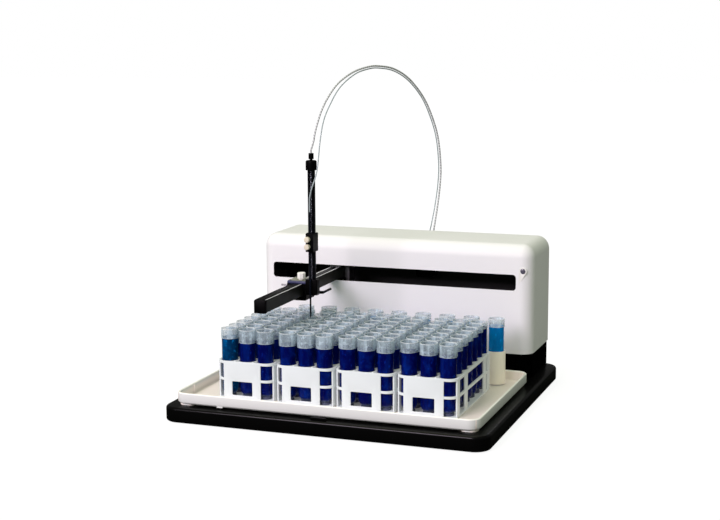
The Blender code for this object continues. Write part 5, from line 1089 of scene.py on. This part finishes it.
def cord_piece(name, path, even, radius, finish, bodies, node, wound=False):
    """Length of cord as a tube, wound or smooth, between the two bodies it joins; bodies is not used."""
    sides = 14
    band = np.ones((len(path), sides))
    if wound:
        phase = TAU * (even[:, None] / WINDING + np.arange(sides)[None, :] / sides)
        band = 0.5 + 0.5 * np.cos(phase)
    size = radius * (0.93 + 0.07 * np.sqrt(band))
    values = np.concatenate([band.ravel(), band[0], band[-1]])
    item = make(name, tube_along(path, size, ARCH_SIDE), finish, node, None,
                attributes={"band": values})
    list(bodies)
    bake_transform(item)
    shown = path[:: max(1, len(path) // 160)]
    if not np.allclose(shown[-1], path[-1]):
        shown = np.vstack([shown, path[-1]])


def make_lines():
    """Sheath of the drive's flexible shaft in two pieces, sample line in three."""
    start = [(DRIVE_X, DRIVE_Y, 0.4519), (DRIVE_X, DRIVE_Y, 0.457)]
    path, even = smooth_path(arch_points(start, SHEATH_ROUTE), 0.0006)
    top = int(np.argmax(path[:, 2]))
    cord_piece("sheath_near", path[:top + 1], even[:top + 1], SHEATH_RADIUS, "grey_sheath",
               ("carriage", "arm"), "drive_cable_sheath", True)
    cord_piece("sheath_far", path[top:], even[top:], SHEATH_RADIUS, "grey_sheath",
               ("arm", "frame"), None, True)
    path, even = smooth_path(arch_points([(DRIVE_X, PROBE_Y, 0.3483)], LINE_ROUTE), 0.002)
    top = int(np.argmax(path[:, 2]))
    middle = int(np.argmax(path[:, 2] > CARRIED_TOP))
    for name, low, high, bodies, node in (
            ("line_low", 0, middle, ("probe_slide", "carriage"), "sample_line"),
            ("line_near", middle, top, ("carriage", "arm"), None),
            ("line_far", top, len(path) - 1, ("arm", "frame"), None)):
        cord_piece(name, path[low:high + 1], even[low:high + 1], LINE_RADIUS, "line", bodies, node)


# Back and inner pieces

PANEL_SCREWS = [(-0.252, 0.079), (-0.085, 0.079), (-0.085, 0.256), (0.085, 0.079),
                (0.085, 0.256), (0.252, 0.079), (-0.256, 0.24), (0.256, 0.24)]
ROD_Y, ROD_HALF, ROD_RADIUS = 0.175, 0.2594, 0.005
CROSS_X, CROSS_Y = 0.2419, 0.2105
CROSS_BELT_LOW, CROSS_BELT_TOP, CROSS_BELT_OUTER = 0.2362, 0.2422, 0.0082


def make_rear():
    """Screws of the rear panel, smooth guide rods in the housing, and the cross drive's belt."""
    head = fillet([(0, 0.259), (0.0031, 0.259), (0.0029, 0.2603), (0.0012, 0.2609),
                   (0.0012, 0.26), (0, 0.26)], [0.0002, 0.0008, 0.0002, 0.0001])
    make("panel_screws", revolved(head, PANEL_SCREWS, 28, "Y"), "steel")
    bar = fillet(stepped(-ROD_HALF, (ROD_RADIUS, ROD_HALF)), [0.0008, 0.0008])
    for name, z in (("lower_guide_rod", 0.137), ("upper_guide_rod", 0.243)):
        make(f"{name}_bar", revolved(bar, [(ROD_Y, z)], axis="X"), "steel", name)
    make_pulley("cross_drive", -CROSS_X, CROSS_Y, CROSS_BELT_LOW, 0.2305, 0.2446)
    make_pulley("cross_idler", CROSS_X, CROSS_Y, CROSS_BELT_LOW, 0.229, 0.2446)
    make_belt("cross_belt_loop", -CROSS_X, CROSS_X, CROSS_Y, CROSS_BELT_LOW, CROSS_BELT_TOP,
              CROSS_BELT_OUTER, False, "frame", "cross_belt")


# Node materials, light and floor

def dress_nodes():
    for entry in frame["record"]["subparts"]:
        node = frame["nodes"][entry["node"]]
        node.data.materials.clear()
        node.data.materials.append(FINISHES[entry["material_slot"]].material)


# Area lights: place, target, width and height, watts and colour
LIGHTS = {
    "key": ((-0.8, -2.65, 1.65), (0, 0, 0.15), (1.5, 1.2), 76.0, (1.0, 0.87, 1.0)),
    "over": ((-0.2, 0.1, 2.2), (0, 0, 0.1), (1.8, 1.5), 11.0, (0.97, 1.0, 0.7)),
}
# World's light: how it leans with direction, its level and tint, and its dim in reflections
WORLD_LEAN, WORLD_LEVEL, WORLD_TINT = (-0.19, -0.1, 0.07), 0.515, (0.9, 1.0, 0.79)
WORLD_DIM, DIM_TINT = 0.14, (0.97, 0.96, 0.93)
FLOOR_SIZE, FLOOR_NEAR, FLOOR_FAR = 14.0, 0.36, 0.62


def add_light(name, place, target, size, power, colour):
    light = bpy.data.objects.new(name, bpy.data.lights.new(name, "AREA"))
    light.data.shape = "RECTANGLE"
    light.data.size, light.data.size_y = size
    light.data.energy = power
    light.data.color = colour
    light.location = place
    light.rotation_euler = (Vector(target) - Vector(place)).to_track_quat("-Z", "Y").to_euler()
    bpy.context.scene.collection.objects.link(light)


def make_world():
    """White to the eye; for light a glow that leans to one side, and dim in reflections."""
    world = bpy.data.worlds.new("studio")
    sky = Tree(world)

    def background(colour, strength=1.0):
        return sky.node("ShaderNodeBackground", None, {"Color": colour, "Strength": strength})

    def chosen(factor, first, second):
        return sky.node("ShaderNodeMixShader", None, {0: factor, 1: first, 2: second})

    ahead = sky.node("ShaderNodeTexCoord", output="Object")
    lean = sky.node("ShaderNodeVectorMath", {"operation": "DOT_PRODUCT"},
                    {0: ahead, 1: WORLD_LEAN}, "Value")
    lit = chosen(sky.rays("Glossy"), background(WORLD_TINT, lean + WORLD_LEVEL),
                 background(DIM_TINT, WORLD_DIM))
    camera_ray = sky.rays("Camera")
    seen = camera_ray.math("MAXIMUM", camera_ray, sky.rays("Transmission"))
    sky.node("ShaderNodeOutputWorld", None, {
        "Surface": chosen(seen, lit, background((1.0, 1.0, 1.0)))})
    bpy.context.scene.world = world


def make_floor():
    """Wide pale floor that shows the object's shadow and fades into the white behind."""
    mesh = bpy.data.meshes.new("floor")
    corners = [(x * FLOOR_SIZE, y * FLOOR_SIZE, 0) for x, y in ((-1, -1), (1, -1), (1, 1), (-1, 1))]
    mesh.from_pydata(corners, [], [(0, 1, 2, 3)])
    floor = bpy.data.objects.new("floor", mesh)
    bpy.context.scene.collection.objects.link(floor)
    finish = Finish("floor", roughness=0.9, specular_ior_level=0.0, emission_strength=1.0)
    away = finish.node("ShaderNodeVectorMath", {"operation": "LENGTH"}, {0: finish.place}, "Value")
    far = finish.step(away, FLOOR_NEAR, FLOOR_FAR)
    unseen = finish.mix(grey(0.3), grey(0.28), finish.noise(3.0))
    unseen = finish.mix(unseen, grey(0.03), finish.rays("Glossy"))
    camera_ray = finish.rays("Camera")
    finish.wear(finish.mix(unseen, finish.mix(grey(0.16), grey(0.0), far), camera_ray))
    glow = finish.mix(grey(0.9), grey(1.05), far)
    finish.set("Emission Color", finish.mix(grey(0.0), glow, camera_ray))
    mesh.materials.append(finish.material)


def make_studio():
    make_world()
    make_floor()
    for name, values in LIGHTS.items():
        add_light(name, *values)
    bpy.context.scene.view_settings.view_transform = "Standard"


set_camera()
make_finishes()
dress_nodes()
make_lines()
make_base()
make_tray()
for index, rack_centre in enumerate(RACK_CENTRES, 1):
    make_rack(index, rack_centre)
    make_tubes(index, rack_centre)
make_standards()
make_housing()
make_lamp()
make_plinth()
make_arm()
make_carriage()
make_drive()
make_slider()
make_rear()
make_studio()
